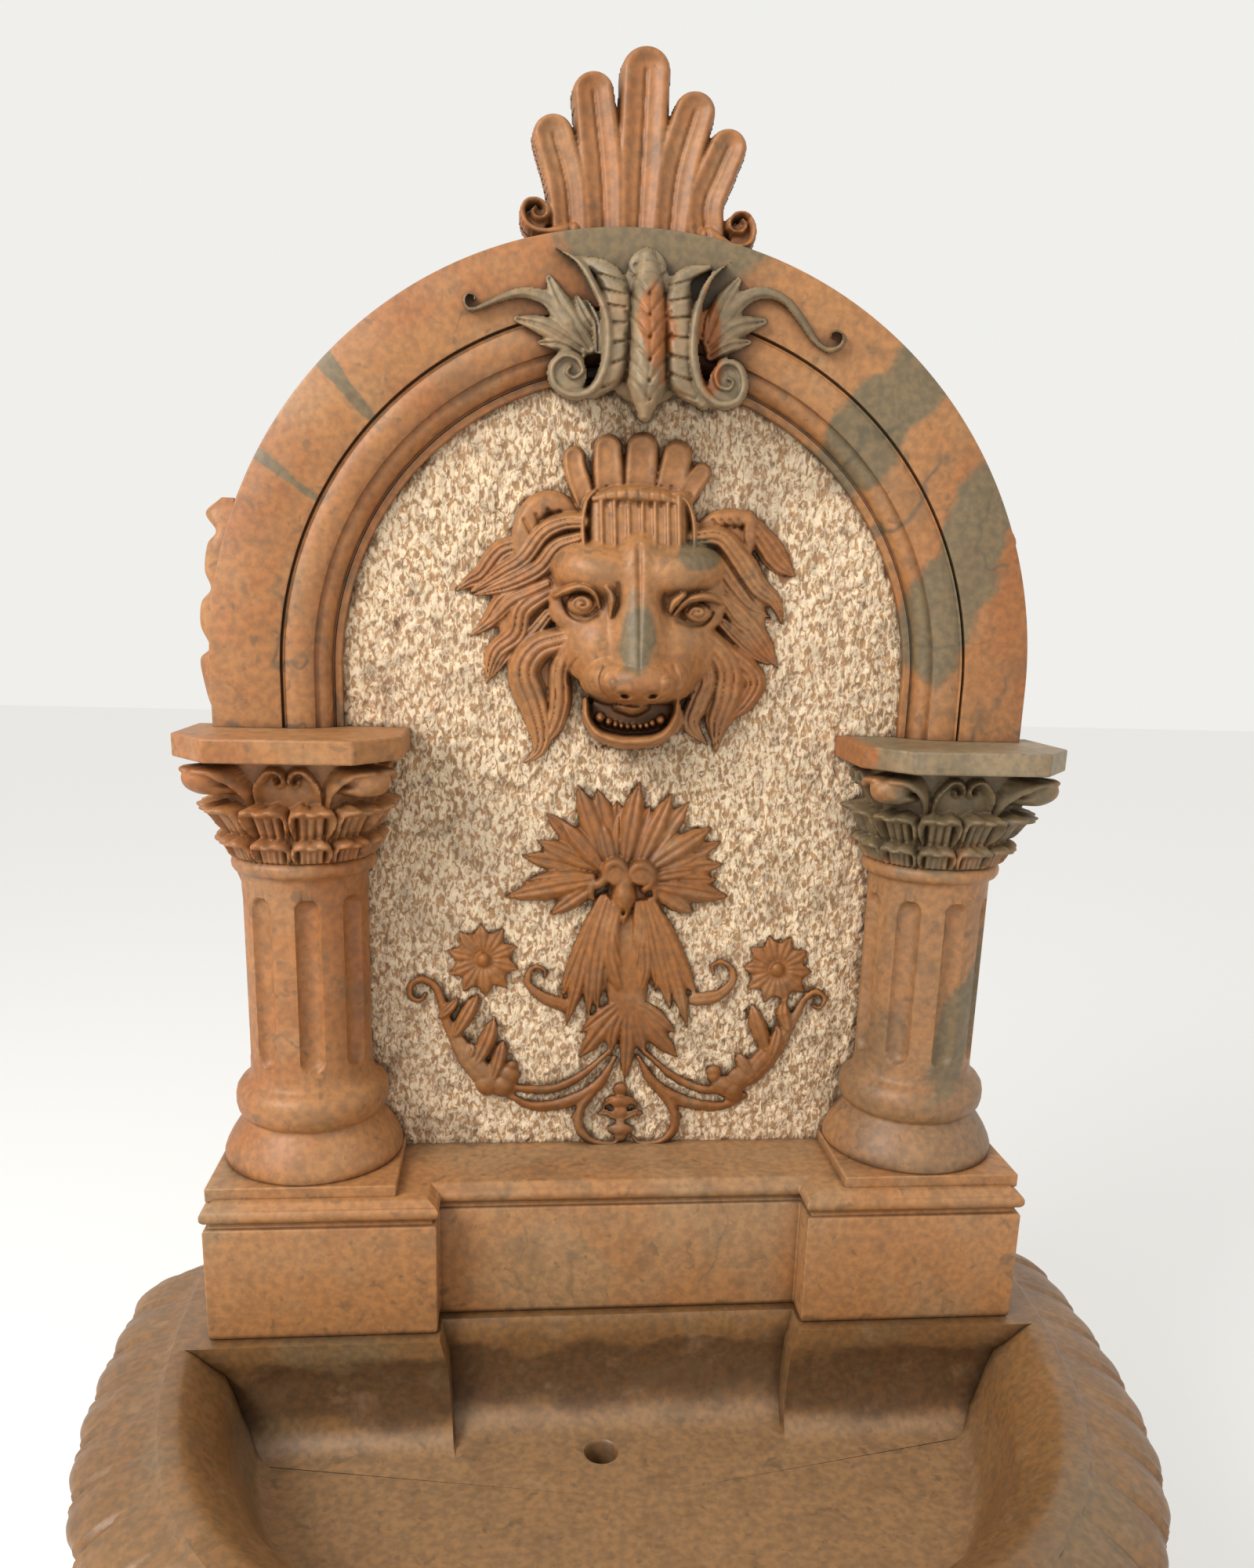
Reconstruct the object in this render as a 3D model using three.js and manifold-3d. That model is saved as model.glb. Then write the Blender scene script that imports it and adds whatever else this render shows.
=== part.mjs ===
// Wall fountain built of carved stones: pedestal, basin, base course, back panel with lion mask and leaf relief,
// two columns with their abaci, arch with leaf keystone, and palmette.
// Millimetres, +Z up, the wall behind at +Y, origin on the floor under the middle of the whole.
import * as THREE from "three";
import { mergeVertices } from "three/addons/utils/BufferGeometryUtils.js";
import Module from "manifold-3d";

const wasm = await Module();
wasm.setup();

// Sizes. Depths are drawn from the arch face, y = 0; heights named _Z from the rim unless RIM_Z is added.
const BED = 0.3; // joint between two stones
const SINK = 4; // how far carving reaches into the stone it grows from
const OVERCUT = 1; // how far a cut runs past what it cuts

const RIM_Z = 620; // floor to basin rim
const WALL_Y = 110; // arch face to the wall plane
const BASIN_REACH = 680; // wall plane to the front of the basin
const FRONT_Y = WALL_Y - BASIN_REACH;

const BASIN_HALF_W = 541;
const BASIN_DEPTH_Z = 235; // rim to the underside of the basin
const BASIN_SQUARENESS = 2.7;
const BASIN_CENTRE_Y = 30; // where the basin is widest
const RIM_HALF_W = 462;
const RIM_FRONT_INSET = 55; // front of the basin to the front of the rim
const LOBES = 44; // gadroons round the basin
const LOBE_DEPTH = 10;
const LOBE_SLANT = 0.5; // share of one lobe that each leans over its height
const BOWL_HALF_W = 428;
const BOWL_FRONT_INSET = 100; // front of the basin to the bowl
const BOWL_DEPTH_Z = 118;
const BOWL_LIP = 14; // bowl to the blocks above it
const FLOOR_SHARE = 0.88; // floor outline over bowl outline
const DRAIN_R = 16;
const DRAIN_X = -22;
const DRAIN_Y = -140;

const PEDESTAL_HALF_W = 300;
const PEDESTAL_FRONT_Y = -330;
const PEDESTAL_CORNER = 60;
const PEDESTAL_BAND_Z = 70;
const PEDESTAL_BAND = 22;
const CHASE_HALF_W = 70; // pipe chase notched into the pedestal's back
const CHASE_FRONT_Y = -190;

const COLUMN_X = 329; // middle line to a column's axis
const COLUMN_Y = 9;
const SHAFT_R = 63;
const CUSHION_R = 93;
const CUSHION_Z = 48;
const TORUS_R = 79;
const TORUS_Z = 39;
const FLUTES = 8;
const FLUTE_TURN = 10; // degrees from the front to the first flute
const FLUTE_HALF_ANGLE = 11;
const FLUTE_DEPTH = 9;
const FLUTE_MARGIN = 22; // plain shaft under and over the flutes
const FLUTE_END = 10;
const ASTRAGAL_R = 72;
const ASTRAGAL_Z = 15;
const CAPITAL_Z = 103;
const CAPITAL_R = 104;

const BLOCK_OVER_OUT = 96; // column axis to the block's outer face
const BLOCK_OVER_IN = 136; // column axis to the block's inner face
const BLOCK_FRONT_Y = -100;
const MIDDLE_FRONT_Y = -64;
const FACE_Z = 124; // plain face of the base course
const GROOVE_Z = 5;
const GROOVE_IN = 5;
const BEAD_Z = 22;
const PLINTH_OVER = 2; // plinth edge past the column's foot
const PLINTH_Z = 12;

const ABACUS_TOP = 615; // rim to the top of the abacus
const ABACUS_Z = 22;
const ABACUS_HALF_W = 106;
const ABACUS_CHAMFER = 39;
const ABACUS_FRONT_Y = -111;
const ABACUS_CHAMFER_Y = 50;

const PANEL_Y = 38; // arch face to panel face
const PANEL_OVER = 61; // column axis to the lower panel's edge
const PANEL_SEAT = 12; // how deep the panel stands in the base course
const ARCH_OVER = 83; // column axis to the arch's outer edge
const ARCH_W = 123;
const ARCH_STILT = 53; // abacus to the centre of the arch
const ARCH_STEPS = 24;
const FASCIA_W = 66;
const VEE_W = 7;
const VEE_DEPTH = 8;
const ROLL_W = 26;
const ROLL_RISE = 4;
const STEP_DEPTH = 9;

const LION_H = 328;
const LION_Z = 757; // between the brows
const RELIEF_H = 418;
const RELIEF_Z = 364;
const RELIEF_SPREAD = 0.96; // width of the relief over its height, as drawn
const KEYSTONE_H = 137;
const KEYSTONE_Z = 984;
const KEYSTONE_SPREAD = 1.11; // width of the keystone carving over its height, as drawn
const KEYSTONE_Y = 10;
const PALMETTE_H = 158;
const PALMETTE_Y = 12; // arch face to the palmette's face
const PALMETTE_T = 52;
const SIDE_SCROLL_Y = 60;
const SIDE_SCROLL_T = 26;

// Places that follow from the sizes
const BLOCK_OUT = COLUMN_X + BLOCK_OVER_OUT;
const BLOCK_IN = COLUMN_X - BLOCK_OVER_IN;
const PANEL_LOW_HALF_W = COLUMN_X + PANEL_OVER;
const ARCH_R = COLUMN_X + ARCH_OVER;
const ARCH_INNER_R = ARCH_R - ARCH_W;
const ARCH_FOOT_Z = RIM_Z + ABACUS_TOP;
const ARCH_Z = ARCH_FOOT_Z + ARCH_STILT;
const COURSE_TOP_Z = FACE_Z + GROOVE_Z + BEAD_Z;

const stone = (name, hex) => Object.assign(
  new THREE.MeshStandardMaterial({ color: hex, roughness: 0.6 }), { name });
const ORANGE = 0xc08457;
const BROWN = 0xa87a52;
const GREY = 0x8f8268;

// Solids
function toSolid(geometry) {
  const bare = geometry.clone();
  bare.deleteAttribute("normal");
  bare.deleteAttribute("uv");
  const merged = mergeVertices(bare, 1e-4);
  return new wasm.Manifold(new wasm.Mesh({
    numProp: 3,
    vertProperties: new Float32Array(merged.attributes.position.array),
    triVerts: new Uint32Array(merged.index.array),
  }));
}
function indexed(points, faces) {
  const geometry = new THREE.BufferGeometry();
  geometry.setAttribute("position", new THREE.Float32BufferAttribute(points.flat(), 3));
  geometry.setIndex(faces.flat());
  return geometry;
}
// closed body through rings of equal count; small rings are capped from their first point, others from the middle
function loft(rings) {
  const n = rings[0].length;
  const points = rings.flat();
  const faces = [];
  for (let r = 0; r + 1 < rings.length; r++) {
    for (let i = 0; i < n; i++) {
      const j = (i + 1) % n;
      const [a, b, c, d] = [r * n + i, r * n + j, (r + 1) * n + j, (r + 1) * n + i];
      faces.push([a, b, c], [a, c, d]);
    }
  }
  const last = (rings.length - 1) * n;
  if (n <= 5) {
    for (let i = 1; i + 1 < n; i++) faces.push([0, i + 1, i], [last, last + i, last + i + 1]);
  } else {
    const centre = (ring) => [0, 1, 2].map((k) => ring.reduce((sum, p) => sum + p[k], 0) / n);
    points.push(centre(rings[0]), centre(rings[rings.length - 1]));
    for (let i = 0; i < n; i++) {
      const j = (i + 1) % n;
      faces.push([points.length - 2, j, i], [points.length - 1, last + i, last + j]);
    }
  }
  const solid = toSolid(indexed(points, faces));
  return solid.volume() > 0 ? solid : toSolid(indexed(points, faces.map(([a, b, c]) => [a, c, b])));
}
function box(x0, x1, y0, y1, z0, z1) {
  const ring = (z) => [[x0, y0, z], [x1, y0, z], [x1, y1, z], [x0, y1, z]];
  return loft([ring(z0), ring(z1)]);
}
// plate with an outline in x and z, from y0 to y1
function plate(outline, y0, y1) {
  const shape = new THREE.Shape(outline.map(([x, z]) => new THREE.Vector2(x, z)));
  const geometry = new THREE.ExtrudeGeometry(shape, { depth: y1 - y0, bevelEnabled: false });
  geometry.rotateX(Math.PI / 2);
  geometry.translate(0, y1, 0);
  return toSolid(geometry);
}
// slab with an outline in x and y, from z0 to z1
function slab(outline, z0, z1) {
  const shape = new THREE.Shape(outline.map(([x, y]) => new THREE.Vector2(x, y)));
  const geometry = new THREE.ExtrudeGeometry(shape, { depth: z1 - z0, bevelEnabled: false });
  geometry.translate(0, 0, z0);
  return toSolid(geometry);
}
function ellipsoid(x, y, z, rx, ry, rz) {
  const geometry = new THREE.SphereGeometry(1, 8, 4);
  geometry.scale(rx, ry, rz);
  geometry.translate(x, y, z);
  return toSolid(geometry);
}
// round bar along an axis, from its middle
function bar(axis, r0, r1, length, sides) {
  const geometry = new THREE.CylinderGeometry(r1, r0, length, sides);
  if (axis === "x") geometry.rotateZ(-Math.PI / 2);
  if (axis === "z") geometry.rotateX(Math.PI / 2);
  return toSolid(geometry);
}
const joined = (solids) => wasm.Manifold.union(solids);

// Carving on an upright face: a tapered band along a path of [x, z] points. Width and rise are given along the
// path; the band rises from the face at y = faceY towards -Y. Its crest is flat, round, grooved or a ridge.
const CRESTS = {
  flat: [[-0.6, 1], [0.6, 1]],
  ridge: [[0, 1]],
  round: [[-0.7, 0.8], [0, 1], [0.7, 0.8]],
  groove: [[-0.68, 1], [0, 0.68], [0.68, 1]],
};
function band(path, width, rise, faceY, crest = "flat", steps = 4, sink = SINK) {
  const points = path.map(([x, z]) => new THREE.Vector3(x, 0, z));
  const curve = new THREE.CatmullRomCurve3(points, false, "centripetal");
  const along = (list, t) => {
    const at = t * (list.length - 1);
    const k = Math.min(Math.floor(at), list.length - 2);
    return list[k] + (list[k + 1] - list[k]) * (at - k);
  };
  const rings = [];
  for (let s = 0; s <= steps; s++) {
    const t = s / steps;
    const p = curve.getPoint(t);
    const d = curve.getTangent(t);
    const w = along(width, t) / 2;
    const h = along(rise, t);
    const section = [[-1, -sink], ...CRESTS[crest].map(([side, up]) => [side, up * h]), [1, -sink]];
    rings.push(section.map(([side, up]) => [p.x - d.z * side * w, faceY - up, p.z + d.x * side * w]));
  }
  return loft(rings);
}
// points of a spiral that winds in towards its centre; angles in turns
function spiral(cx, cz, radius, from, turns, count) {
  return Array.from({ length: count }, (_, i) => {
    const t = i / (count - 1);
    const a = 2 * Math.PI * (from + turns * t);
    const r = radius * (1 - 0.72 * t);
    return [cx + r * Math.cos(a), cz + r * Math.sin(a)];
  });
}
// carving drawn in units of its own height: x and z from a middle point, z up
function drawing(unit, middleZ, faceY, spread, sink) {
  const at = (x, z) => [x * unit * spread, middleZ + z * unit];
  const scaled = (list) => list.map((v) => v * unit);
  return {
    at,
    stroke: (path, width, rise, crest, steps) =>
      band(path.map(([x, z]) => at(x, z)), scaled(width), scaled(rise), faceY, crest, steps, sink),
    blob: (x, z, out, rx, ry, rz) => {
      const [px, pz] = at(x, z);
      return ellipsoid(px, faceY - out * unit, pz, rx * unit, ry * unit, rz * unit);
    },
  };
}

// Pedestal
function roundedBlock(grow, z0, z1) {
  const [halfW, frontY, corner] = [PEDESTAL_HALF_W + grow, PEDESTAL_FRONT_Y - grow, PEDESTAL_CORNER + grow];
  const steps = 5;
  const right = Array.from({ length: steps + 1 }, (_, i) => {
    const a = (i / steps) * Math.PI / 2;
    return [halfW - corner + corner * Math.sin(a), frontY + corner - corner * Math.cos(a)];
  });
  const left = right.map(([x, y]) => [-x, y]).reverse();
  return slab([...right, [halfW, WALL_Y], [-halfW, WALL_Y], ...left], z0, z1);
}
function pedestal() {
  const top = RIM_Z - BASIN_DEPTH_Z - BED;
  const body = joined([
    roundedBlock(0, 0, top),
    roundedBlock(PEDESTAL_BAND, 0, PEDESTAL_BAND_Z),
    roundedBlock(PEDESTAL_BAND / 2, 0, PEDESTAL_BAND_Z * 1.25),
  ]);
  const chase = box(-CHASE_HALF_W, CHASE_HALF_W, CHASE_FRONT_Y, WALL_Y + OVERCUT, -OVERCUT, top + OVERCUT);
  return body.subtract(chase);
}

// Basin. Its outline is a superellipse in front of the centre; behind it the same curve closes at the wall.
function superellipse(halfW, frontReach, backReach, count) {
  const power = 2 / BASIN_SQUARENESS;
  const dense = [];
  for (let i = 0; i <= 240; i++) {
    const a = (i / 240) * 2 * Math.PI;
    const [c, s] = [Math.cos(a), Math.sin(a)];
    const y = Math.sign(s) * Math.abs(s) ** power * (s < 0 ? frontReach : backReach);
    dense.push(new THREE.Vector2(Math.sign(c) * Math.abs(c) ** power * halfW, BASIN_CENTRE_Y + y));
  }
  return new THREE.SplineCurve(dense).getSpacedPoints(count).slice(0, count);
}
function basinRing(halfW, frontInset, lobe, lean, z) {
  const count = LOBES * 2;
  const [frontReach, backReach] = [BASIN_CENTRE_Y - FRONT_Y - frontInset, WALL_Y - BASIN_CENTRE_Y];
  return superellipse(halfW, frontReach, backReach, count).map((p, i) => {
    const ripple = lobe * (Math.abs(Math.sin(Math.PI * (i / 2 + lean))) - 1);
    const out = p.y < WALL_Y - LOBE_DEPTH ? ripple : 0;
    const size = Math.hypot(p.x, p.y - BASIN_CENTRE_Y);
    return [p.x * (1 + out / size), BASIN_CENTRE_Y + (p.y - BASIN_CENTRE_Y) * (1 + out / size), z];
  });
}
function basin() {
  // share of the depth below the rim, half width, front inset, share of the lobes' depth
  const levels = [
    [0, RIM_HALF_W, RIM_FRONT_INSET, 0],
    [0.06, BASIN_HALF_W - 35, 26, 1],
    [0.18, BASIN_HALF_W, 0, 1],
    [0.42, BASIN_HALF_W - 24, 22, 1],
    [0.66, BASIN_HALF_W - 95, 92, 1],
    [0.84, BASIN_HALF_W - 175, 160, 0],
    [1, BASIN_HALF_W - 187, 170, 0],
  ];
  const outer = loft(levels.map(([share, halfW, inset, lobe]) =>
    basinRing(halfW, inset, lobe * LOBE_DEPTH, LOBE_SLANT * share, RIM_Z - share * BASIN_DEPTH_Z)));
  // share of the bowl's depth and of its outline, from over the rim down to the floor
  const walls = [[-0.05, 1.01], [0.12, 0.985], [0.6, 0.93], [0.9, 0.9], [1, FLOOR_SHARE]];
  const backY = BLOCK_FRONT_Y - BOWL_LIP;
  const bowl = joined(walls.slice(1).map((_, k) => {
    const rings = [walls[k], walls[k + 1]].map(([depth, grow]) => {
      const front = (BASIN_CENTRE_Y - FRONT_Y - BOWL_FRONT_INSET) * grow;
      return superellipse(BOWL_HALF_W * grow, front, front, 36).map((p) => [p.x, p.y, RIM_Z - depth * BOWL_DEPTH_Z]);
    });
    return loft(rings);
  }));
  const behind = box(-BASIN_HALF_W, BASIN_HALF_W, backY, -FRONT_Y, 0, RIM_Z * 2);
  const nicheBack = (grow) => MIDDLE_FRONT_Y - BOWL_LIP - (1 - grow) * 160;
  const niche = loft(walls.map(([depth, grow]) => {
    const x = (BLOCK_IN - BOWL_LIP / 2) * (1 + grow) / 2;
    const z = RIM_Z - depth * BOWL_DEPTH_Z;
    return [[-x, FRONT_Y / 2, z], [x, FRONT_Y / 2, z], [x, nicheBack(grow), z], [-x, nicheBack(grow), z]];
  }));
  // the drain runs through all the stone between the bowl's floor and the underside
  const drain = bar("z", DRAIN_R, DRAIN_R, BASIN_DEPTH_Z - BOWL_DEPTH_Z + OVERCUT * 2, 24)
    .translate([DRAIN_X, DRAIN_Y, RIM_Z - (BASIN_DEPTH_Z + BOWL_DEPTH_Z) / 2]);
  return outer.subtract(joined([bowl.subtract(behind), niche, drain]));
}

// Base course: a broad block under each column and the lower middle between them
function courseLayer(grow, z0, z1) {
  const [bx, by, ix, iy] = [BLOCK_OUT + grow, BLOCK_FRONT_Y - grow, BLOCK_IN - grow, MIDDLE_FRONT_Y - grow];
  const right = [[ix, iy], [ix, by], [bx, by], [bx, WALL_Y]];
  return slab([...right, ...right.map(([x, y]) => [-x, y]).reverse()], RIM_Z + z0, RIM_Z + z1);
}
function baseCourse() {
  const bead = FACE_Z + GROOVE_Z;
  const layers = [
    courseLayer(0, BED, FACE_Z),
    courseLayer(-GROOVE_IN, FACE_Z / 2, bead + BEAD_Z / 2),
    courseLayer(-1, bead, bead + BEAD_Z * 0.25),
    courseLayer(2, bead + BEAD_Z * 0.25, bead + BEAD_Z * 0.72),
    courseLayer(-3, bead + BEAD_Z / 2, bead + BEAD_Z * 0.9),
    courseLayer(-10, bead + BEAD_Z / 2, bead + BEAD_Z),
  ];
  const half = CUSHION_R + PLINTH_OVER;
  for (const side of [-1, 1]) {
    const x = side * COLUMN_X;
    layers.push(box(x - half, x + half, COLUMN_Y - half, PANEL_Y - BED,
      RIM_Z + COURSE_TOP_Z - PLINTH_Z, RIM_Z + COURSE_TOP_Z + PLINTH_Z));
  }
  const seatW = PANEL_LOW_HALF_W + BED;
  const seat = box(-seatW, seatW, PANEL_Y - BED, WALL_Y + OVERCUT,
    RIM_Z + COURSE_TOP_Z - PANEL_SEAT, RIM_Z + COURSE_TOP_Z + PLINTH_Z + OVERCUT);
  return joined(layers).subtract(seat);
}

// Columns
// leaf that stands on a turned body of radius r at angle a and curls out at its tip
function capitalLeaf(a, r, z0, z1, width, reach) {
  // share of the reach, share of the height, thickness, share of the width
  const spine = [[0, 0, 8, 0.8], [0.3, 0.65, 8, 1], [1, 0.92, 6, 0.6]];
  const rings = spine.map(([out, up, thick, wide], i) => {
    const w = (wide * width) / 2;
    const z = z0 + up * (z1 - z0);
    const front = r + out * reach + thick;
    const back = i < spine.length - 1 ? r - SINK * 2 : r + out * reach - thick;
    const corner = (side, radius, level) => [radius * Math.cos(a) - side * w * Math.sin(a),
      radius * Math.sin(a) + side * w * Math.cos(a), level];
    const low = i < spine.length - 1 ? z : z - thick;
    return [corner(-1, back, low), corner(1, back, low), corner(1, front, z), corner(-1, front, z)];
  });
  return loft(rings);
}
function capital(z0, z1) {
  const parts = [];
  const facing = (a, r) => COLUMN_Y + r * Math.sin(a) < PANEL_Y;
  const ring = (count, from, make) => {
    for (let i = 0; i < count; i++) {
      const a = (2 * Math.PI * (i + from)) / count;
      if (facing(a, SHAFT_R)) parts.push(...make(a));
    }
  };
  ring(8, 0.5, (a) => [capitalLeaf(a, SHAFT_R + 2, z0 - 2, z0 + CAPITAL_Z * 0.36, 44, 24)]);
  ring(8, 0, (a) => [capitalLeaf(a, SHAFT_R + 5, z0 + 20, z0 + CAPITAL_Z * 0.68, 44, 26)]);
  // corner volutes on their stalks
  ring(4, 0.5, (a) => [
    bar("y", 15, 15, 22, 8).translate([CAPITAL_R + 10, 0, z1 - 22]),
    bar("x", 12, 10, 54, 5).rotate([0, -20, 0]).translate([SHAFT_R + 24, 0, z1 - 28]),
  ].map((solid) => solid.rotate([0, 0, (a * 180) / Math.PI])));
  // pairs of small helices between them
  ring(4, 0, (a) => [-14, 14].map((off) =>
    bar("x", 9, 9, 20, 6).translate([CAPITAL_R - 22, off, z1 - 17]).rotate([0, 0, (a * 180) / Math.PI])));
  return parts;
}
function column(side) {
  const foot = COURSE_TOP_Z + PLINTH_Z + BED;
  const torus = foot + CUSHION_Z;
  const shaft = torus + TORUS_Z;
  const top = ABACUS_TOP - ABACUS_Z - BED;
  const neck = top - CAPITAL_Z;
  const flutes = [shaft + FLUTE_MARGIN, neck - ASTRAGAL_Z - FLUTE_MARGIN];
  // radius, height, depth of the flutes
  const profile = [
    [CUSHION_R, foot, 0], [CUSHION_R, foot + 7, 0], [TORUS_R - 5, torus - 7, 0], [TORUS_R - 9, torus, 0],
    [TORUS_R - 1, torus + TORUS_Z * 0.3, 0], [TORUS_R - 1, torus + TORUS_Z * 0.7, 0], [SHAFT_R + 2, shaft, 0],
    [SHAFT_R, flutes[0], 0], [SHAFT_R, flutes[0] + FLUTE_END, FLUTE_DEPTH],
    [SHAFT_R, flutes[1] - FLUTE_END, FLUTE_DEPTH], [SHAFT_R, flutes[1], 0],
    [SHAFT_R, neck - ASTRAGAL_Z - 4, 0], [ASTRAGAL_R, neck - ASTRAGAL_Z, 0], [ASTRAGAL_R, neck - 4, 0],
    [SHAFT_R, neck, 0], [SHAFT_R + 4, neck + CAPITAL_Z * 0.6, 0], [CAPITAL_R - 10, top, 0],
  ];
  const rings = profile.map(([r, z, deep]) => {
    const ring = [];
    for (let i = 0; i < FLUTES; i++) {
      for (const [share, cut] of [[-1, 1], [1, 1], [180 / FLUTES / FLUTE_HALF_ANGLE, 0]]) {
        const a = ((i * 360) / FLUTES + FLUTE_TURN - 90 + share * FLUTE_HALF_ANGLE) * Math.PI / 180;
        ring.push([(r - cut * deep) * Math.cos(a), (r - cut * deep) * Math.sin(a), z]);
      }
    }
    return ring;
  });
  const placed = joined([loft(rings), ...capital(neck, top)]).translate([side * COLUMN_X, COLUMN_Y, RIM_Z]);
  const reach = COLUMN_X + BASIN_HALF_W;
  const behind = box(-reach, reach, PANEL_Y - BED, WALL_Y * 3, 0, RIM_Z + ABACUS_TOP);
  return placed.subtract(behind);
}
function abacus(side) {
  const [w, c] = [ABACUS_HALF_W, ABACUS_CHAMFER];
  const [front, back] = [ABACUS_FRONT_Y, PANEL_Y - BED];
  const outline = [[-w + c, front], [w - c, front], [w, front + ABACUS_CHAMFER_Y], [w, back], [-w, back],
    [-w, front + ABACUS_CHAMFER_Y]];
  return slab(outline, ARCH_FOOT_Z - ABACUS_Z, ARCH_FOOT_Z).translate([side * COLUMN_X, 0, 0]);
}

// Lion mask, in units of a 1325th of its height
function lion() {
  const { at, stroke, blob } = drawing(LION_H / 1325, RIM_Z + LION_Z, PANEL_Y, 1, SINK);
  const parts = [];
  // crown of five lobes over a rolled lip and a fluted brow plaque: foot x, foot z, tip x, tip z, width
  const crown = [[-190, 340, -255, 540, 110], [-100, 350, -125, 595, 140], [5, 355, 10, 600, 140],
    [105, 350, 160, 575, 140], [180, 330, 275, 450, 110]];
  for (const [x0, z0, x1, z1, w] of crown) {
    parts.push(stroke([[x0, z0], [x1, z1]], [w * 0.7, w, w * 0.5], [90, 105, 70], "groove", 2));
  }
  parts.push(stroke([[-215, 340], [0, 385], [205, 335]], [60, 90, 60], [130, 160, 130], "flat", 2));
  for (const x of [-160, -80, 0, 80, 160]) {
    parts.push(stroke([[x, 380], [x, 140]], [84, 84], [120, 205], "flat", 1));
  }
  for (const s of [-1, 1]) {
    parts.push(stroke([[s * 265, 215], [s * 370, 320], [s * 425, 350]], [210, 190, 60], [90, 110, 60], "groove", 2));
  }
  // head: height, half width, depth
  const head = [[190, 200, 130], [150, 270, 215], [70, 335, 265], [-20, 345, 255], [-110, 345, 245], [-200, 315, 255],
    [-300, 250, 285], [-390, 225, 310], [-455, 190, 285]];
  parts.push(loft(head.map(([z, w, depth]) => {
    const ring = [];
    for (let i = 0; i <= 8; i++) {
      const a = (i / 8) * Math.PI;
      const [px, pz] = at(Math.sign(Math.cos(a)) * Math.abs(Math.cos(a)) ** 0.8 * w, z);
      ring.push([px, PANEL_Y - Math.sin(a) ** 0.7 * depth * LION_H / 1325, pz]);
    }
    const [bx, bz] = at(w, z);
    return [...ring, [-bx, PANEL_Y + SINK, bz], [bx, PANEL_Y + SINK, bz]];
  })));
  for (const s of [-1, 1]) {
    parts.push(blob(s * 180, 60, 215, 150, 80, 80)); // brow
    parts.push(blob(s * 232, -60, 225, 62, 50, 52)); // eye
    parts.push(blob(s * 165, -375, 270, 100, 72, 88)); // cheek
    parts.push(blob(s * 78, -390, 345, 62, 46, 52)); // wing of the nose
  }
  parts.push(stroke([[0, 130], [0, -180], [0, -400]], [150, 130, 235], [285, 320, 385], "flat", 3));
  // open jaw with its tongue
  parts.push(stroke([[-175, -420], [-155, -560], [0, -600], [155, -560], [175, -420]], [80, 95, 105, 95, 80],
    [190, 235, 250, 235, 190], "flat", 4));
  parts.push(blob(0, -520, 80, 160, 110, 80));
  parts.push(blob(-20, -500, 190, 55, 55, 35));
  // mane: root, bend and tip of each lock, and its width
  const mane = [
    [[-300, 215], [-470, 90], [-700, 0], 110], [[-330, 130], [-520, 10], [-640, -60], 100],
    [[-345, 30], [-520, -120], [-650, -190], 105], [[-345, -60], [-480, -210], [-600, -350], 105],
    [[-350, -190], [-420, -420], [-420, -640], 100], [[-310, -250], [-370, -450], [-400, -660], 90],
    [[290, 215], [470, 60], [555, -130], 120], [[440, 210], [560, 110], [630, 55], 110],
    [[330, 60], [440, -110], [540, -290], 100], [[335, -60], [470, -190], [545, -300], 90],
    [[330, -180], [420, -360], [330, -560], 110], [[270, -280], [280, -480], [300, -650], 100],
  ];
  for (const [root, bend, tip, w] of mane) {
    parts.push(stroke([root, bend, tip], [w * 1.1, w * 1.2, w * 0.75, w * 0.15], [170, 130, 95, 50], "groove", 3));
  }
  return parts;
}

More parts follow.
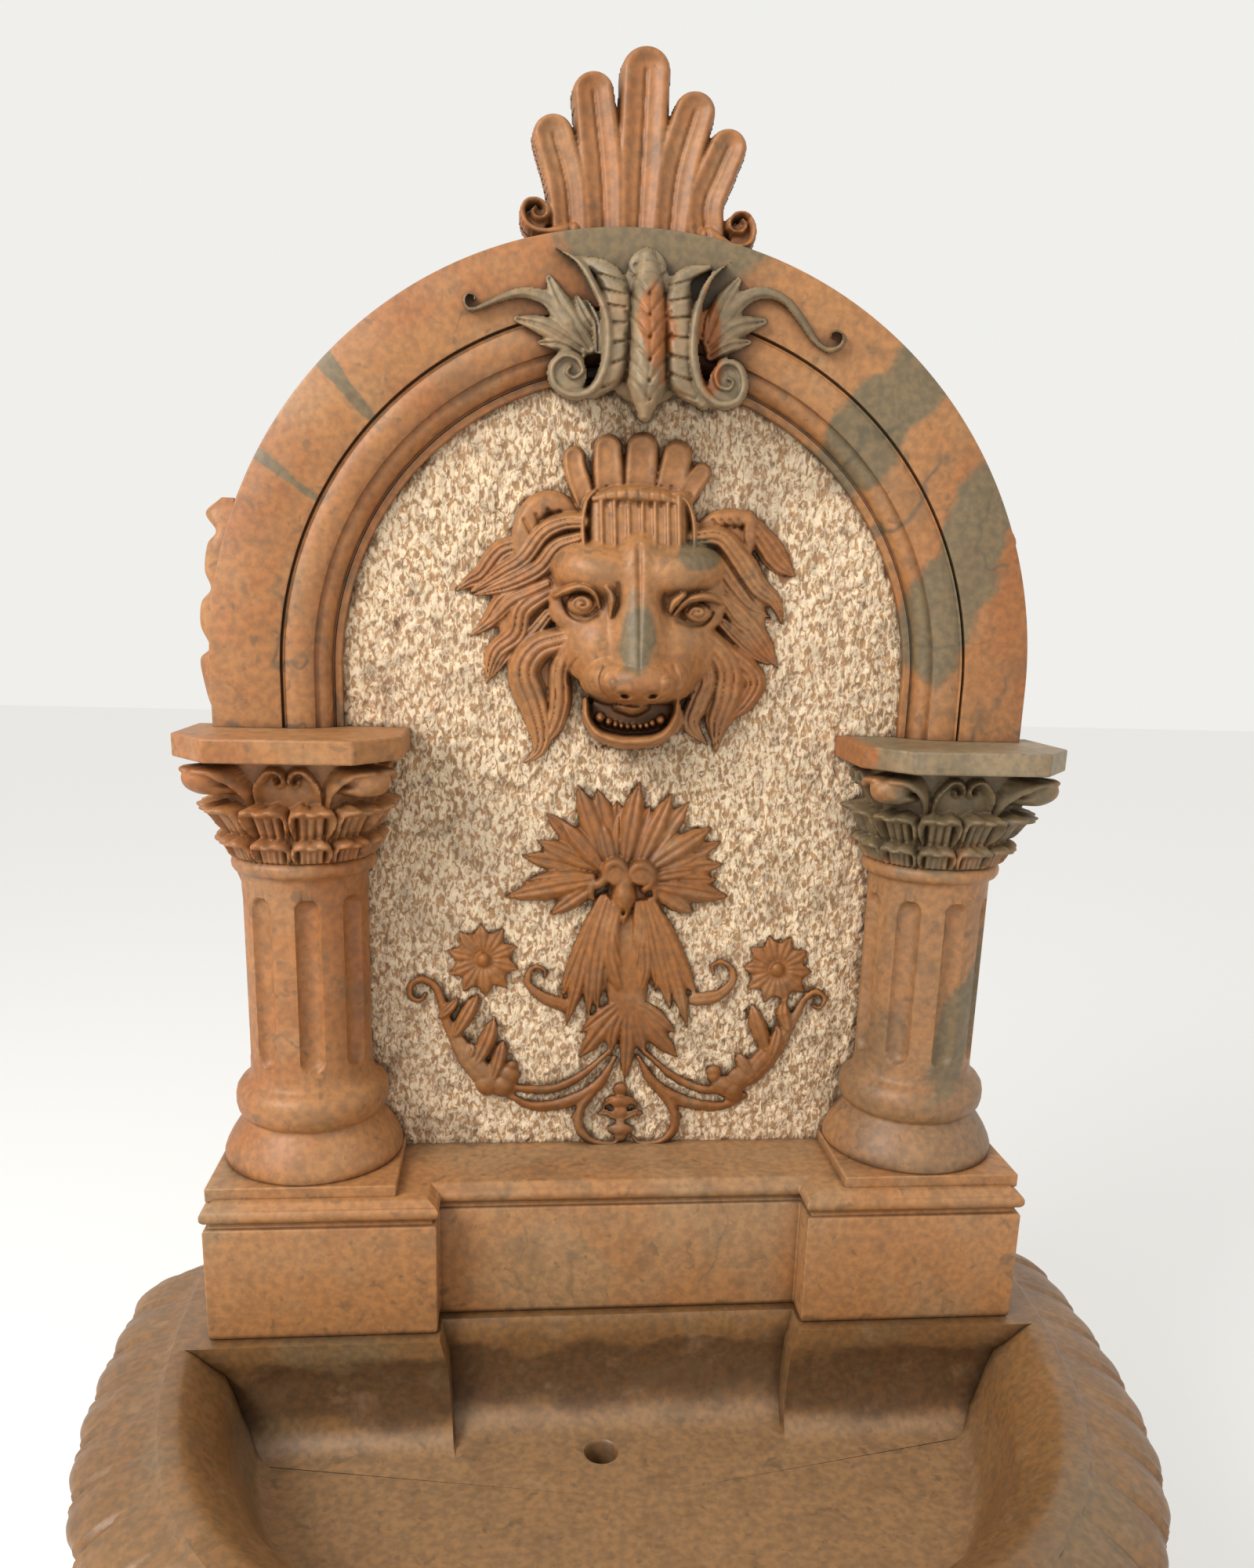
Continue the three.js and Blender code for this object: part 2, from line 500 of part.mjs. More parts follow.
// Leaf relief, in units of a 1265th of its height
function relief() {
  const { at, stroke } = drawing(RELIEF_H / 1265, RIM_Z + RELIEF_Z, PANEL_Y, RELIEF_SPREAD, SINK / 2);
  const unit = RELIEF_H / 1265;
  const parts = [];
  const fan = 9;
  for (let i = 0; i < fan; i++) {
    const a = (-12 + (204 * i) / (fan - 1)) * Math.PI / 180;
    const long = 350 + 45 * Math.abs(Math.cos(a)) + (i % 2 ? 20 : 0);
    const ray = (r) => [Math.cos(a) * r, 290 + Math.sin(a) * r];
    parts.push(stroke([ray(60), ray(long * 0.6), ray(long)], [50, 120, 110, 20], [60, 80, 60, 25], "ridge", 3));
  }
  for (const s of [-1, 1]) {
    const leaf = (path, width, rise, crest, steps) =>
      parts.push(stroke(path.map(([x, z]) => [s * x, z]), width, rise, crest, steps));
    leaf([[10, 240], [40, 330], [105, 325], [120, 250]], [70, 75, 75, 60], [85, 95, 90, 60], "flat", 3); // bow
    leaf([[45, 250], [110, 80], [190, -120], [215, -240]], [90, 150, 170, 50], [90, 95, 80, 35], "groove", 3);
    leaf([[40, 120], [60, -20], [20, -150]], [80, 120, 30], [95, 90, 40], "ridge", 2);
    leaf([[20, -120], [110, -250], [175, -350]], [60, 100, 20], [60, 65, 30], "ridge", 2); // skirt
    leaf([[20, -150], [50, -260], [75, -330]], [60, 80, 20], [60, 65, 30], "ridge", 2);
    leaf([[190, -110], [260, -130], ...spiral(300, -55, 55, -0.175, 0.8, 6)], [60, 55, 45, 30], [60, 60, 50, 45],
      "flat", 7); // inner scroll
    leaf([[380, -420], [500, -330], [600, -220], [645, -110], ...spiral(690, -115, 50, 0.35, -0.75, 6)],
      [50, 80, 80, 50, 30], [60, 75, 70, 60, 45], "flat", 8); // outer scroll
    leaf([[430, -400], [420, -210]], [60, 75, 18], [75, 75, 40], "ridge", 2);
    leaf([[480, -360], [500, -190]], [60, 75, 18], [75, 75, 40], "ridge", 2);
    leaf([[560, -260], [500, -110]], [60, 75, 18], [75, 75, 40], "ridge", 2);
    leaf([[60, -330], [170, -420], [380, -445]], [40, 45, 40], [50, 55, 50], "ridge", 3); // stems
    leaf([[50, -320], [130, -450], [250, -490], [400, -460]], [40, 60, 50, 40], [50, 55, 50, 50], "ridge", 4);
    leaf([[390, -480], [375, -400]], [90, 60], [85, 75], "flat", 1);
    leaf([[60, -330], [110, -440], [160, -520], [120, -600], [10, -620]], [30, 45, 45, 45, 40],
      [50, 55, 55, 55, 50], "ridge", 5); // lyre
    // flower of six petals
    const ring = (inner, outer, rise) => Array.from({ length: 12 }, (_, i) => {
      const a = (i / 12) * 2 * Math.PI;
      const r = i % 2 ? inner : outer;
      const [x, z] = at(s * 500 + r * Math.cos(a), (s < 0 ? 10 : -25) + r * Math.sin(a));
      return [x, PANEL_Y - rise * unit, z];
    });
    parts.push(loft([ring(85, 122, -8), ring(75, 116, 45), ring(14, 20, 72)]));
  }
  parts.push(stroke([[0, -120], [0, -300], [0, -400]], [70, 80, 20], [60, 65, 35], "ridge", 3));
  parts.push(stroke([[-20, -330], [-20, -470], [-20, -540], [-20, -570], [-20, -610]], [20, 90, 30, 90, 30],
    [50, 75, 55, 70, 50], "flat", 4));
  return parts;
}

// Back panel
function sideScroll(side) {
  const face = side * (ARCH_R - SINK);
  const half = SIDE_SCROLL_T / 2;
  const mid = SIDE_SCROLL_Y + half;
  // height over the abacus, reach out of the side, share of the thickness
  const levels = [[-175, 3, 0.15], [-140, 14, 0.6], [-60, 10, 1], [10, 26, 1], [50, 34, 1], [75, 24, 1], [95, 32, 1],
    [130, 20, 1], [150, 24, 1], [185, 12, 1], [205, 20, 0.6], [220, 4, 0.25]];
  return loft(levels.map(([z, out, share]) => {
    const [inner, edge, tip] = [face - side * SINK * 3, face + side * out * 0.7, face + side * out];
    const h = half * share;
    return [[inner, mid - h], [edge, mid - h], [tip, mid], [edge, mid + h], [inner, mid + h]]
      .map(([x, y]) => [x, y, ARCH_FOOT_Z + z]);
  }));
}
function archOutline(r, dropTo) {
  const arc = Array.from({ length: ARCH_STEPS + 1 }, (_, i) => {
    const a = (i / ARCH_STEPS) * Math.PI;
    return [r * Math.cos(a), ARCH_Z + r * Math.sin(a)];
  });
  return [...arc, [-r, dropTo], [r, dropTo]];
}
function backPanel() {
  const low = RIM_Z + COURSE_TOP_Z - PANEL_SEAT + BED;
  const upper = plate(archOutline(ARCH_R - 2, ARCH_FOOT_Z - ABACUS_Z * 3), PANEL_Y, WALL_Y);
  const lower = box(-PANEL_LOW_HALF_W, PANEL_LOW_HALF_W, PANEL_Y, WALL_Y, low, ARCH_Z);
  return joined([upper, lower, sideScroll(-1), sideScroll(1), ...lion(), ...relief()]);
}

// Arch
// section from the outer edge inwards: distance from the outer edge, y of the front
function archSection() {
  const roll = FASCIA_W + VEE_W;
  const step = roll + ROLL_W;
  return [[0, 0], [FASCIA_W, 0], [FASCIA_W + VEE_W / 2, VEE_DEPTH], [roll, 0], [roll + ROLL_W * 0.3, -ROLL_RISE],
    [roll + ROLL_W * 0.7, -ROLL_RISE * 0.75], [step, ROLL_RISE / 2], [step + 1, STEP_DEPTH],
    [step + 10, STEP_DEPTH + 10], [ARCH_W - 8, PANEL_Y - 12], [ARCH_W, PANEL_Y - 10], [ARCH_W, PANEL_Y - BED],
    [0, PANEL_Y - BED]];
}
function archRing() {
  const section = archSection();
  const foot = (side) => section.map(([d, y]) => [side * (ARCH_R - d), y, ARCH_FOOT_Z + BED]);
  const rings = [foot(1)];
  for (let i = 0; i <= ARCH_STEPS; i++) {
    const a = (i / ARCH_STEPS) * Math.PI;
    rings.push(section.map(([d, y]) => [(ARCH_R - d) * Math.cos(a), y, ARCH_Z + (ARCH_R - d) * Math.sin(a)]));
  }
  return loft([...rings, foot(-1)]);
}
// leaf keystone, in units of a 590th of its height
function keystone() {
  const { stroke } = drawing(KEYSTONE_H / 590, RIM_Z + KEYSTONE_Z, KEYSTONE_Y, KEYSTONE_SPREAD, KEYSTONE_Y + SINK * 2);
  const parts = [stroke([[0, 285], [0, 150], [0, -60], [0, -200], [0, -300]], [50, 150, 170, 160, 30],
    [80, 190, 280, 265, 120], "round", 4)];
  for (const s of [-1, 1]) {
    const leaf = (path, width, rise, crest, steps) =>
      parts.push(stroke(path.map(([x, z]) => [s * x, z]), width, rise, crest, steps));
    leaf([[110, 220], [125, 60], [120, -140], [170, -235]], [140, 130, 120, 90], [90, 150, 190, 170], "flat", 2);
    // horn rim with its volute
    leaf([[320, 290], [200, 160], [155, 0], [165, -130], [215, -215], ...spiral(285, -160, 62, -0.25, 1, 7)],
      [20, 55, 55, 60, 55, 45, 35], [70, 120, 150, 170, 170, 170, 175], "flat", 11);
    for (const [x, z, w] of [[365, 190, 80], [265, 130, 70], [460, 65, 80], [390, -25, 70]]) {
      leaf([[215, -60], [(200 + x) / 2, (z - 40) / 2], [x, z]], [50, w, 25], [80, 100, 60], "ridge", 2);
    }
    leaf([[230, 20], [380, 120], [500, 100], [590, 40], ...spiral(660, 60, 42, -0.25, 0.8, 5)],
      [80, 85, 60, 50, 30], [90, 80, 65, 60, 60], "flat", 7); // tail
  }
  return parts;
}
const arch = () => joined([archRing(), ...keystone()]);

// Palmette, in shares of its height; it sits on the arch
function palmette() {
  const foot = ARCH_Z + ARCH_R;
  const face = PALMETTE_Y + PALMETTE_T / 2;
  const depth = PALMETTE_T / 2;
  const stroke = (path, width, rise, crest, steps) => band(
    path.map(([x, z]) => [x * PALMETTE_H, foot + z * PALMETTE_H]),
    width.map((w) => w * PALMETTE_H), rise.map((r) => r * PALMETTE_T), face, crest, steps, depth);
  // lobes: x at the foot, x at the tip, height of the tip, width
  const lobes = [[0, 0, 1, 0.32], [-0.14, -0.285, 0.86, 0.3], [0.14, 0.3, 0.81, 0.3], [-0.285, -0.52, 0.62, 0.27],
    [0.285, 0.5, 0.61, 0.27]];
  const parts = lobes.map(([x0, x1, z, w]) => stroke(
    [[x0, -0.04], [(x0 + x1) / 2, z / 2], [x1, z]],
    [w * 0.6, w * 0.8, w, w, w * 0.45], [0.38, 0.46, 0.5, 0.5, 0.3], "groove", 5));
  for (const s of [-1, 1]) {
    parts.push(stroke([[0.38, 0.025], [0.53, -0.1], ...spiral(0.67, 0.013, 0.12, -0.25, 0.9, 7)]
      .map(([x, z]) => [s * x, z]), [0.15, 0.14, 0.11, 0.06], [0.46, 0.46, 0.46, 0.46], "flat", 8));
    parts.push(stroke([[s * 0.38, 0], [s * 0.57, 0.165], [s * 0.595, 0.39]], [0.215, 0.165, 0.05],
      [0.27, 0.27, 0.2], "flat", 3));
  }
  const root = [[-0.6, -0.25], [0.6, -0.25], [0.5, 0.09], [0, 0.165], [-0.5, 0.09]];
  const heel = plate(root.map(([x, z]) => [x * PALMETTE_H, foot + z * PALMETTE_H]),
    face - PALMETTE_T * 0.27, face + depth);
  const seat = bar("y", ARCH_R + BED, ARCH_R + BED, WALL_Y * 4, ARCH_STEPS * 2).translate([0, 0, ARCH_Z]);
  return joined([...parts, heel]).subtract(seat);
}

// Assembly
const pieces = [
  ["pedestal", pedestal(), BROWN],
  ["basin", basin(), BROWN],
  ["base_course", baseCourse(), ORANGE],
  ["back_panel", backPanel(), ORANGE],
  ["column_left", column(-1), ORANGE],
  ["column_right", column(1), ORANGE],
  ["abacus_left", abacus(-1), ORANGE],
  ["abacus_right", abacus(1), GREY],
  ["arch", arch(), ORANGE],
  ["palmette", palmette(), ORANGE],
];
// the origin goes under the middle between the frontmost and the rearmost point
const reach = pieces.map(([, solid]) => solid.boundingBox());
const shiftY = -(Math.min(...reach.map((b) => b.min[1])) + Math.max(...reach.map((b) => b.max[1]))) / 2;
const group = new THREE.Group();
group.name = "wall_fountain";
for (const [name, solid, hex] of pieces) {
  const mesh = solid.translate([0, shiftY, 0]).getMesh();
  const geometry = new THREE.BufferGeometry();
  geometry.setAttribute("position", new THREE.BufferAttribute(mesh.vertProperties, 3));
  geometry.setIndex(new THREE.BufferAttribute(mesh.triVerts, 1));
  const node = new THREE.Mesh(geometry, stone(name + "_stone", hex));
  node.name = name;
  group.add(node);
}
export default group;
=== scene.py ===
import math

import bmesh
import bpy
import numpy as np
from mathutils import Matrix, Vector


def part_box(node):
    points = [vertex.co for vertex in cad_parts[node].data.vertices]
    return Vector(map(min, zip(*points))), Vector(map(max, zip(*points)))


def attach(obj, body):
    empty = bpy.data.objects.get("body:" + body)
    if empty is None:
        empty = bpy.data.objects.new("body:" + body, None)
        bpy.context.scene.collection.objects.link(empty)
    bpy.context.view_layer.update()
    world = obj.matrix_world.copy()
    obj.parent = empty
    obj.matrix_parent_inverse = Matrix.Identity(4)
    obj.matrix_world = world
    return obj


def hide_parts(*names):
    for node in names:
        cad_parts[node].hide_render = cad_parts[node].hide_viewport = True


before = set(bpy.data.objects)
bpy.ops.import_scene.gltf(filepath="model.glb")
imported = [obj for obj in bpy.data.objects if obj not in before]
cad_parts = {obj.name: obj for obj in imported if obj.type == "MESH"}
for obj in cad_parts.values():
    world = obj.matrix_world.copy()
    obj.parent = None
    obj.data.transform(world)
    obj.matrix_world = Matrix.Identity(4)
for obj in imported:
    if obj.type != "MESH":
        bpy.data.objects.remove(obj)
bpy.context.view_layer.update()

MM = 0.001


def node_mm(node):
    """Lowest and highest corner of a CAD node in mm."""
    low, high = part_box(node)
    return np.array(low) / MM, np.array(high) / MM


# Sizes in mm, read from the frame
PEDESTAL_LO, PEDESTAL_HI = node_mm("pedestal")
BASIN_LO, BASIN_HI = node_mm("basin")
COURSE_TOP = node_mm("base_course")[1][2]
PANEL_LO, PANEL_HI = node_mm("back_panel")
COLUMN_LO, COLUMN_HI = node_mm("column_right")
ABACUS_TOP = node_mm("abacus_right")[1][2]
ARCH_HI = node_mm("arch")[1]

BED = 0.3  # joint between two stones
ARCH_RECESS = 38  # arch face to panel face
PANEL_Y = ARCH_HI[1] + BED
FACE_Y = PANEL_Y - ARCH_RECESS
WALL_Y = PANEL_HI[1]
RIM_Z = BASIN_HI[2]
ARCH_R = ARCH_HI[0]
ARCH_W = 123
ARCH_Z = ARCH_HI[2] - ARCH_R
COLUMN_X = (COLUMN_LO[0] + COLUMN_HI[0]) / 2
COLUMN_Y = COLUMN_LO[1] + (COLUMN_HI[0] - COLUMN_LO[0]) / 2
SHAFT_R = 63
BLOCK_OUT, BLOCK_IN = COLUMN_X + 96, COLUMN_X - 136
BLOCK_FRONT = FACE_Y - 100
MIDDLE_FRONT = FACE_Y - 64
PANEL_HALF_W = COLUMN_X + 61  # of its lower part
PAST = 5  # how far a cutter runs past the stone

# The photograph's place: in front, a little left, at the height of the lion, looking slightly down
CAMERA = np.array([-117.7, FACE_Y - 1178.4, RIM_Z + 731.6])
FOCAL_PX = 1480.1
IMAGE_H = 2000
AIM_U, AIM_V = 800, 1150  # pixel on the camera's axis
YAW, PITCH, ROLL = (math.radians(v) for v in (5.8, 13.8, -1.7))
AHEAD = np.array([math.sin(YAW) * math.cos(PITCH), math.cos(YAW) * math.cos(PITCH), -math.sin(PITCH)])
LEVEL = np.array([math.cos(YAW), -math.sin(YAW), 0])
UNDER = np.cross(AHEAD, LEVEL)
RIGHT = math.cos(ROLL) * LEVEL + math.sin(ROLL) * UNDER
DOWN = -math.sin(ROLL) * LEVEL + math.cos(ROLL) * UNDER


def seen_at(u, v, y):
    """Points at depth y that the photograph shows at pixels u, v."""
    ray = AHEAD + (u[..., None] - AIM_U) / FOCAL_PX * RIGHT + (v[..., None] - AIM_V) / FOCAL_PX * DOWN
    return CAMERA + ray * ((y - CAMERA[1]) / ray[..., 1])[..., None]


# Meshes
PIECES = []


def piece(name, points, faces, slot, node=None, smooth=40, closed=True):
    """A new object from points in mm; it stands for a CAD node if one is named."""
    obj = raw(name, points, faces, closed)
    shade(obj, smooth)
    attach(obj, "root")
    if node:
        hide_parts(node)
    PIECES.append(obj)
    return obj


def raw(name, points, faces, closed=True):
    mesh = bpy.data.meshes.new(name)
    mesh.from_pydata((np.asarray(points) * MM).tolist(), [], faces)
    mesh.validate()
    obj = bpy.data.objects.new(name, mesh)
    bpy.context.scene.collection.objects.link(obj)
    if closed:
        work = bmesh.new()
        work.from_mesh(mesh)
        bmesh.ops.recalc_face_normals(work, faces=work.faces)
        work.to_mesh(mesh)
        work.free()
    return obj


def shade(obj, angle):
    """Smooth shading, with edges over the angle kept sharp."""
    mesh = obj.data
    mesh.shade_smooth()
    mesh.set_sharp_from_angle(angle=math.radians(angle))


def loft(rings):
    """Points and faces of a closed body through rings of equal count."""
    rings = np.asarray(rings, float)
    rows, cols = rings.shape[:2]
    points = np.vstack([rings.reshape(-1, 3), rings[0].mean(axis=0), rings[-1].mean(axis=0)])
    index = np.arange(rows * cols).reshape(rows, cols)
    across = np.roll(index, -1, axis=1)
    faces = np.stack([index[:-1], across[:-1], across[1:], index[1:]], axis=-1).reshape(-1, 4).tolist()
    first, last = rows * cols, rows * cols + 1
    faces += [[first, int(b), int(a)] for a, b in zip(index[0], across[0])]
    faces += [[last, int(a), int(b)] for a, b in zip(index[-1], across[-1])]
    return points, faces


def upright(outline, levels):
    """Points and faces of a prism over an outline in x and y."""
    return loft([[(x, y, z) for x, y in outline] for z in levels])


def rectangle(x0, x1, y0, y1):
    return [(x0, y0), (x1, y0), (x1, y1), (x0, y1)]


def grid_faces(index, cells):
    """Quads of the marked cells of a grid of point numbers."""
    i, j = np.nonzero(cells)
    return np.stack([index[i, j], index[i + 1, j], index[i + 1, j + 1], index[i, j + 1]], axis=1)


def only_used(points, quads):
    """The points that the quads use, and the quads counted on them."""
    used, new = np.unique(quads, return_inverse=True)
    return points[used], new.reshape(quads.shape).tolist()


def bevelled(obj, width, angle=35):
    mod = obj.modifiers.new("edge", "BEVEL")
    mod.width = width * MM
    mod.segments = 3
    mod.limit_method = "ANGLE"
    mod.angle_limit = math.radians(angle)
    return obj


def cut(obj, cutter):
    """Takes the cutter out of the object and deletes the cutter."""
    mod = obj.modifiers.new("cut", "BOOLEAN")
    mod.object = cutter
    mod.operation = "DIFFERENCE"
    mod.solver = "MANIFOLD"
    bpy.context.view_layer.update()
    result = bpy.data.meshes.new_from_object(obj.evaluated_get(bpy.context.evaluated_depsgraph_get()))
    obj.modifiers.remove(mod)
    obj.data = result
    bpy.data.objects.remove(cutter)
    return obj


# Curves
def smooth_rows(rows, per_span=12):
    """Catmull-Rom curve through rows of numbers."""
    p = np.asarray(rows, float)
    p = np.vstack([2 * p[0] - p[1], p, 2 * p[-1] - p[-2]])
    t = np.linspace(0, 1, per_span, endpoint=False)[:, None]
    spans = []
    for a, b, c, d in zip(p, p[1:], p[2:], p[3:]):
        bend = (2 * a - 5 * b + 4 * c - d) * t ** 2 + (3 * b - a - 3 * c + d) * t ** 3
        spans.append(0.5 * (2 * b + (c - a) * t + bend))
    return np.vstack([*spans, p[-2:-1]])


def smooth_path(points, count):
    """Curve through the points, evenly spaced."""
    line = smooth_rows(points)
    length = np.concatenate([[0], np.cumsum(np.hypot(*np.diff(line, axis=0).T))])
    at = np.linspace(0, length[-1], count)
    return np.stack([np.interp(at, length, line[:, k]) for k in (0, 1)], axis=1)


def along(values, t):
    """Values given evenly along a path, at shares t of its length."""
    return np.interp(t, np.linspace(0, 1, len(values)), values)


class Carving:
    """Heights in mm over a face, on a grid over two drawing coordinates a and b."""

    def __init__(self, a0, a1, b0, b1, cell, base=-6.0):
        self.a = np.arange(a0, a1 + cell, cell)
        self.b = np.arange(b0, b1 + cell, cell)
        self.h = np.full((len(self.a), len(self.b)), float(base))

    def window(self, low, high):
        rows = slice(*np.searchsorted(self.a, [low[0], high[0]]))
        cols = slice(*np.searchsorted(self.b, [low[1], high[1]]))
        return rows, cols, *np.meshgrid(self.a[rows], self.b[cols], indexing="ij")

    def near(self, path, reach):
        """Window round a path: distance, offset to its side, share along it, and whether past an end."""
        rows, cols, a, b = self.window(path.min(axis=0) - reach, path.max(axis=0) + reach)
        best = np.full(a.shape, 1e9)
        side, share, past = np.zeros(a.shape), np.zeros(a.shape), np.zeros(a.shape, bool)
        count = len(path) - 1
        for k in range(count):
            start, step = path[k], path[k + 1] - path[k]
            free = ((a - start[0]) * step[0] + (b - start[1]) * step[1]) / max(step @ step, 1e-9)
            t = np.clip(free, 0, 1)
            da, db = a - start[0] - t * step[0], b - start[1] - t * step[1]
            d = np.hypot(da, db)
            closer = d < best
            best = np.where(closer, d, best)
            side = np.where(closer, np.sign(step[0] * db - step[1] * da) * d, side)
            share = np.where(closer, (k + t) / count, share)
            over = (free < 0) if k == 0 else (free > 1) & (k == count - 1)
            past = np.where(closer, over, past)
        return rows, cols, best, side, share, past

    def lay(self, rows, cols, h, soft=0.0):
        """Keeps the higher of the old and new heights, blended over a soft range."""
        old = self.h[rows, cols]
        if soft:
            k = np.clip(0.5 + 0.5 * (h - old) / soft, 0, 1)
            self.h[rows, cols] = np.where(h > -8, old + (h - old) * k + soft * k * (1 - k), old)
        else:
            self.h[rows, cols] = np.maximum(old, h)

    def band(self, points, width, rise, groove=0.0, dish=0.0, strands=0, depth=0.0, power=2.4, soft=0.0,
             steps=0, square=False):
        """A raised band: round in section, with a middle groove, a dished face or strands along it."""
        path = smooth_path(points, steps or 7 * len(points))
        rows, cols, d, side, t, past = self.near(path, max(width) / 2 + 2)
        w = along(width, t) / 2
        q = np.clip(d / w, 0, 1)
        inner = np.minimum((1 - q) * 3, 1)
        h = along(rise, t) * (1 - q ** power) ** 0.5
        h = h - dish * np.exp(-(q / 0.6) ** 4)
        h = h - groove * np.exp(-(side / (0.2 * w)) ** 2) * inner
        if strands:
            h = h - depth * (1 - np.abs(np.cos(0.5 * math.pi * strands * side / w)) ** 0.55) * inner
        hit = (d < w) & ~(past & square)
        self.lay(rows, cols, np.where(hit, h, -9.0), soft)

    def dome(self, a, b, ra, rb, top, base=0.0, turn=0.0, power=2.0, soft=0.0):
        """A dome from base to top, turned by some degrees."""
        rows, cols, da, db = self.turned(a, b, max(ra, rb) + 2, turn)
        q = (np.abs(da / ra) ** power + np.abs(db / rb) ** power) ** (1 / power)
        h = base + (top - base) * np.sqrt(np.clip(1 - q ** 2, 0, 1))
        self.lay(rows, cols, np.where(q < 1, h, -9.0), soft)

    def turned(self, a, b, reach, turn):
        """Window round a point, with the offsets from it turned by some degrees."""
        rows, cols, ga, gb = self.window((a - reach, b - reach), (a + reach, b + reach))
        c, s = math.cos(math.radians(turn)), math.sin(math.radians(turn))
        da, db = ga - a, gb - b
        return rows, cols, c * da + s * db, c * db - s * da

    def groove(self, points, width, depth, steps=0):
        """Takes a soft groove out along a path."""
        path = smooth_path(points, steps or 7 * len(points))
        rows, cols, d, side, t, past = self.near(path, max(width) * 2)
        self.h[rows, cols] -= along(depth, t) * np.exp(-(d / along(width, t)) ** 2)

    def hollow(self, a, b, ra, rb, depth, turn=0.0):
        """Takes a soft oval hollow out."""
        rows, cols, da, db = self.turned(a, b, max(ra, rb) * 2.2, turn)
        self.h[rows, cols] -= depth * np.exp(-1.4 * ((da / ra) ** 2 + (db / rb) ** 2))

    def soften(self, rounds=1):
        for _ in range(rounds):
            pad = np.pad(self.h, 1, mode="edge")
            self.h = (4 * self.h + pad[:-2, 1:-1] + pad[2:, 1:-1] + pad[1:-1, :-2] + pad[1:-1, 2:]) / 8

    def seen_mesh(self, origin_u, origin_v, pixel, face_y, above, foot, plane=None):
        """Surface over the height "above" whose points stand where the photograph shows them.

        The drawing's origin is at pixel origin_u, origin_v, and a unit is so many pixels. With a plane, all
        points are sighted at that height, so the outline runs straight back."""
        kept = self.h > above
        cells = kept[:-1, :-1] & kept[1:, :-1] & kept[1:, 1:] & kept[:-1, 1:]
        whole = np.zeros_like(kept)
        whole[1:-1, 1:-1] = cells[:-1, :-1] & cells[1:, :-1] & cells[:-1, 1:] & cells[1:, 1:]
        h = np.where(whole, self.h, foot)
        u = origin_u + pixel * np.broadcast_to(self.a[:, None], h.shape)
        v = origin_v - pixel * np.broadcast_to(self.b[None, :], h.shape)
        points = seen_at(u, v, face_y - (h if plane is None else np.full(h.shape, plane)))
        points[..., 1] = face_y - h
        points = points.reshape(-1, 3)
        return only_used(points, grid_faces(np.arange(h.size).reshape(h.shape), cells))


def sided(points, s, middle=0):
    """Points drawn to the right of a middle line, or mirrored to its left with s = -1."""
    return [(middle + s * a, b) for a, b in points]


# Pedestal
PEDESTAL_CORNER_R = 82
PEDESTAL_INSET = 22  # of its upper part
CHASE_HALF_W, CHASE_FRONT = 70, FACE_Y - 190


def build_pedestal():
    half_w, front_y, top = PEDESTAL_HI[0], PEDESTAL_LO[1], PEDESTAL_HI[2]
    # height and inset of the mouldings
    levels = [(0, 1), (2, 0), (67, 0), (70, 3), (70, 10.5), (71, 11), (85, 11), (88, 14), (88, 20)]
    levels += [(94, PEDESTAL_INSET), (top, PEDESTAL_INSET)]
    turn = np.linspace(0, math.pi / 2, 12)
    rings = []
    for z, inset in levels:
        corner, w, y = PEDESTAL_CORNER_R - inset, half_w - inset, front_y + inset
        right = np.stack([w - corner + corner * np.sin(turn), y + corner - corner * np.cos(turn)], axis=1)
        ring = np.vstack([right, [[w, WALL_Y], [-w, WALL_Y]], (right * [-1, 1])[::-1]])
        rings.append(np.column_stack([ring, np.full(len(ring), z)]))
    body = piece("pedestal_stone", *loft(rings), "pedestal", "pedestal", smooth=30)
    chase = rectangle(-CHASE_HALF_W, CHASE_HALF_W, CHASE_FRONT, WALL_Y + PAST)
    return cut(body, raw("chase", *upright(chase, (-PAST, top + PAST))))


# Basin
LOBES = 44
LOBE_STEPS = 24  # mesh columns to a lobe
LOBE_DEPTH = 10
LOBE_SLANT = 0.5
RIB_W = 0.05  # share of a lobe
SQUARENESS = 2.7
BASIN_CENTRE_Y = FACE_Y + 30
BASIN_REACH = BASIN_CENTRE_Y - BASIN_LO[1]
BOWL_HALF_W = 428
BOWL_REACH = BASIN_REACH - 100
BOWL_DEPTH = 118
BOWL_BACK = BLOCK_FRONT - 14
NICHE_HALF_W = BLOCK_IN - 7
NICHE_BACK = MIDDLE_FRONT - 14
NICHE_OVERLAP = 34  # how far it reaches into the bowl
NICHE_SLOPE = 90
DRAIN_X, DRAIN_Y, DRAIN_R = -22, FACE_Y - 140, 16
DRAIN_LIP = 3


def squared_oval(half_w, front, back, count):
    """Rounded outline with equal steps along it, and its outward directions."""
    a = np.linspace(0, 2 * math.pi, 4000)
    c, s = np.cos(a), np.sin(a)
    x = half_w * np.sign(c) * np.abs(c) ** (2 / SQUARENESS)
    y = np.where(s < 0, front, back) * np.sign(s) * np.abs(s) ** (2 / SQUARENESS)
    length = np.concatenate([[0], np.cumsum(np.hypot(np.diff(x), np.diff(y)))])
    at = np.linspace(0, length[-1], count, endpoint=False)
    ring = np.stack([np.interp(at, length, x), np.interp(at, length, y)], axis=1)
    run = np.roll(ring, -1, axis=0) - np.roll(ring, 1, axis=0)
    out = np.stack([run[:, 1], -run[:, 0]], axis=1) / np.hypot(*run.T)[:, None]
    return ring, out


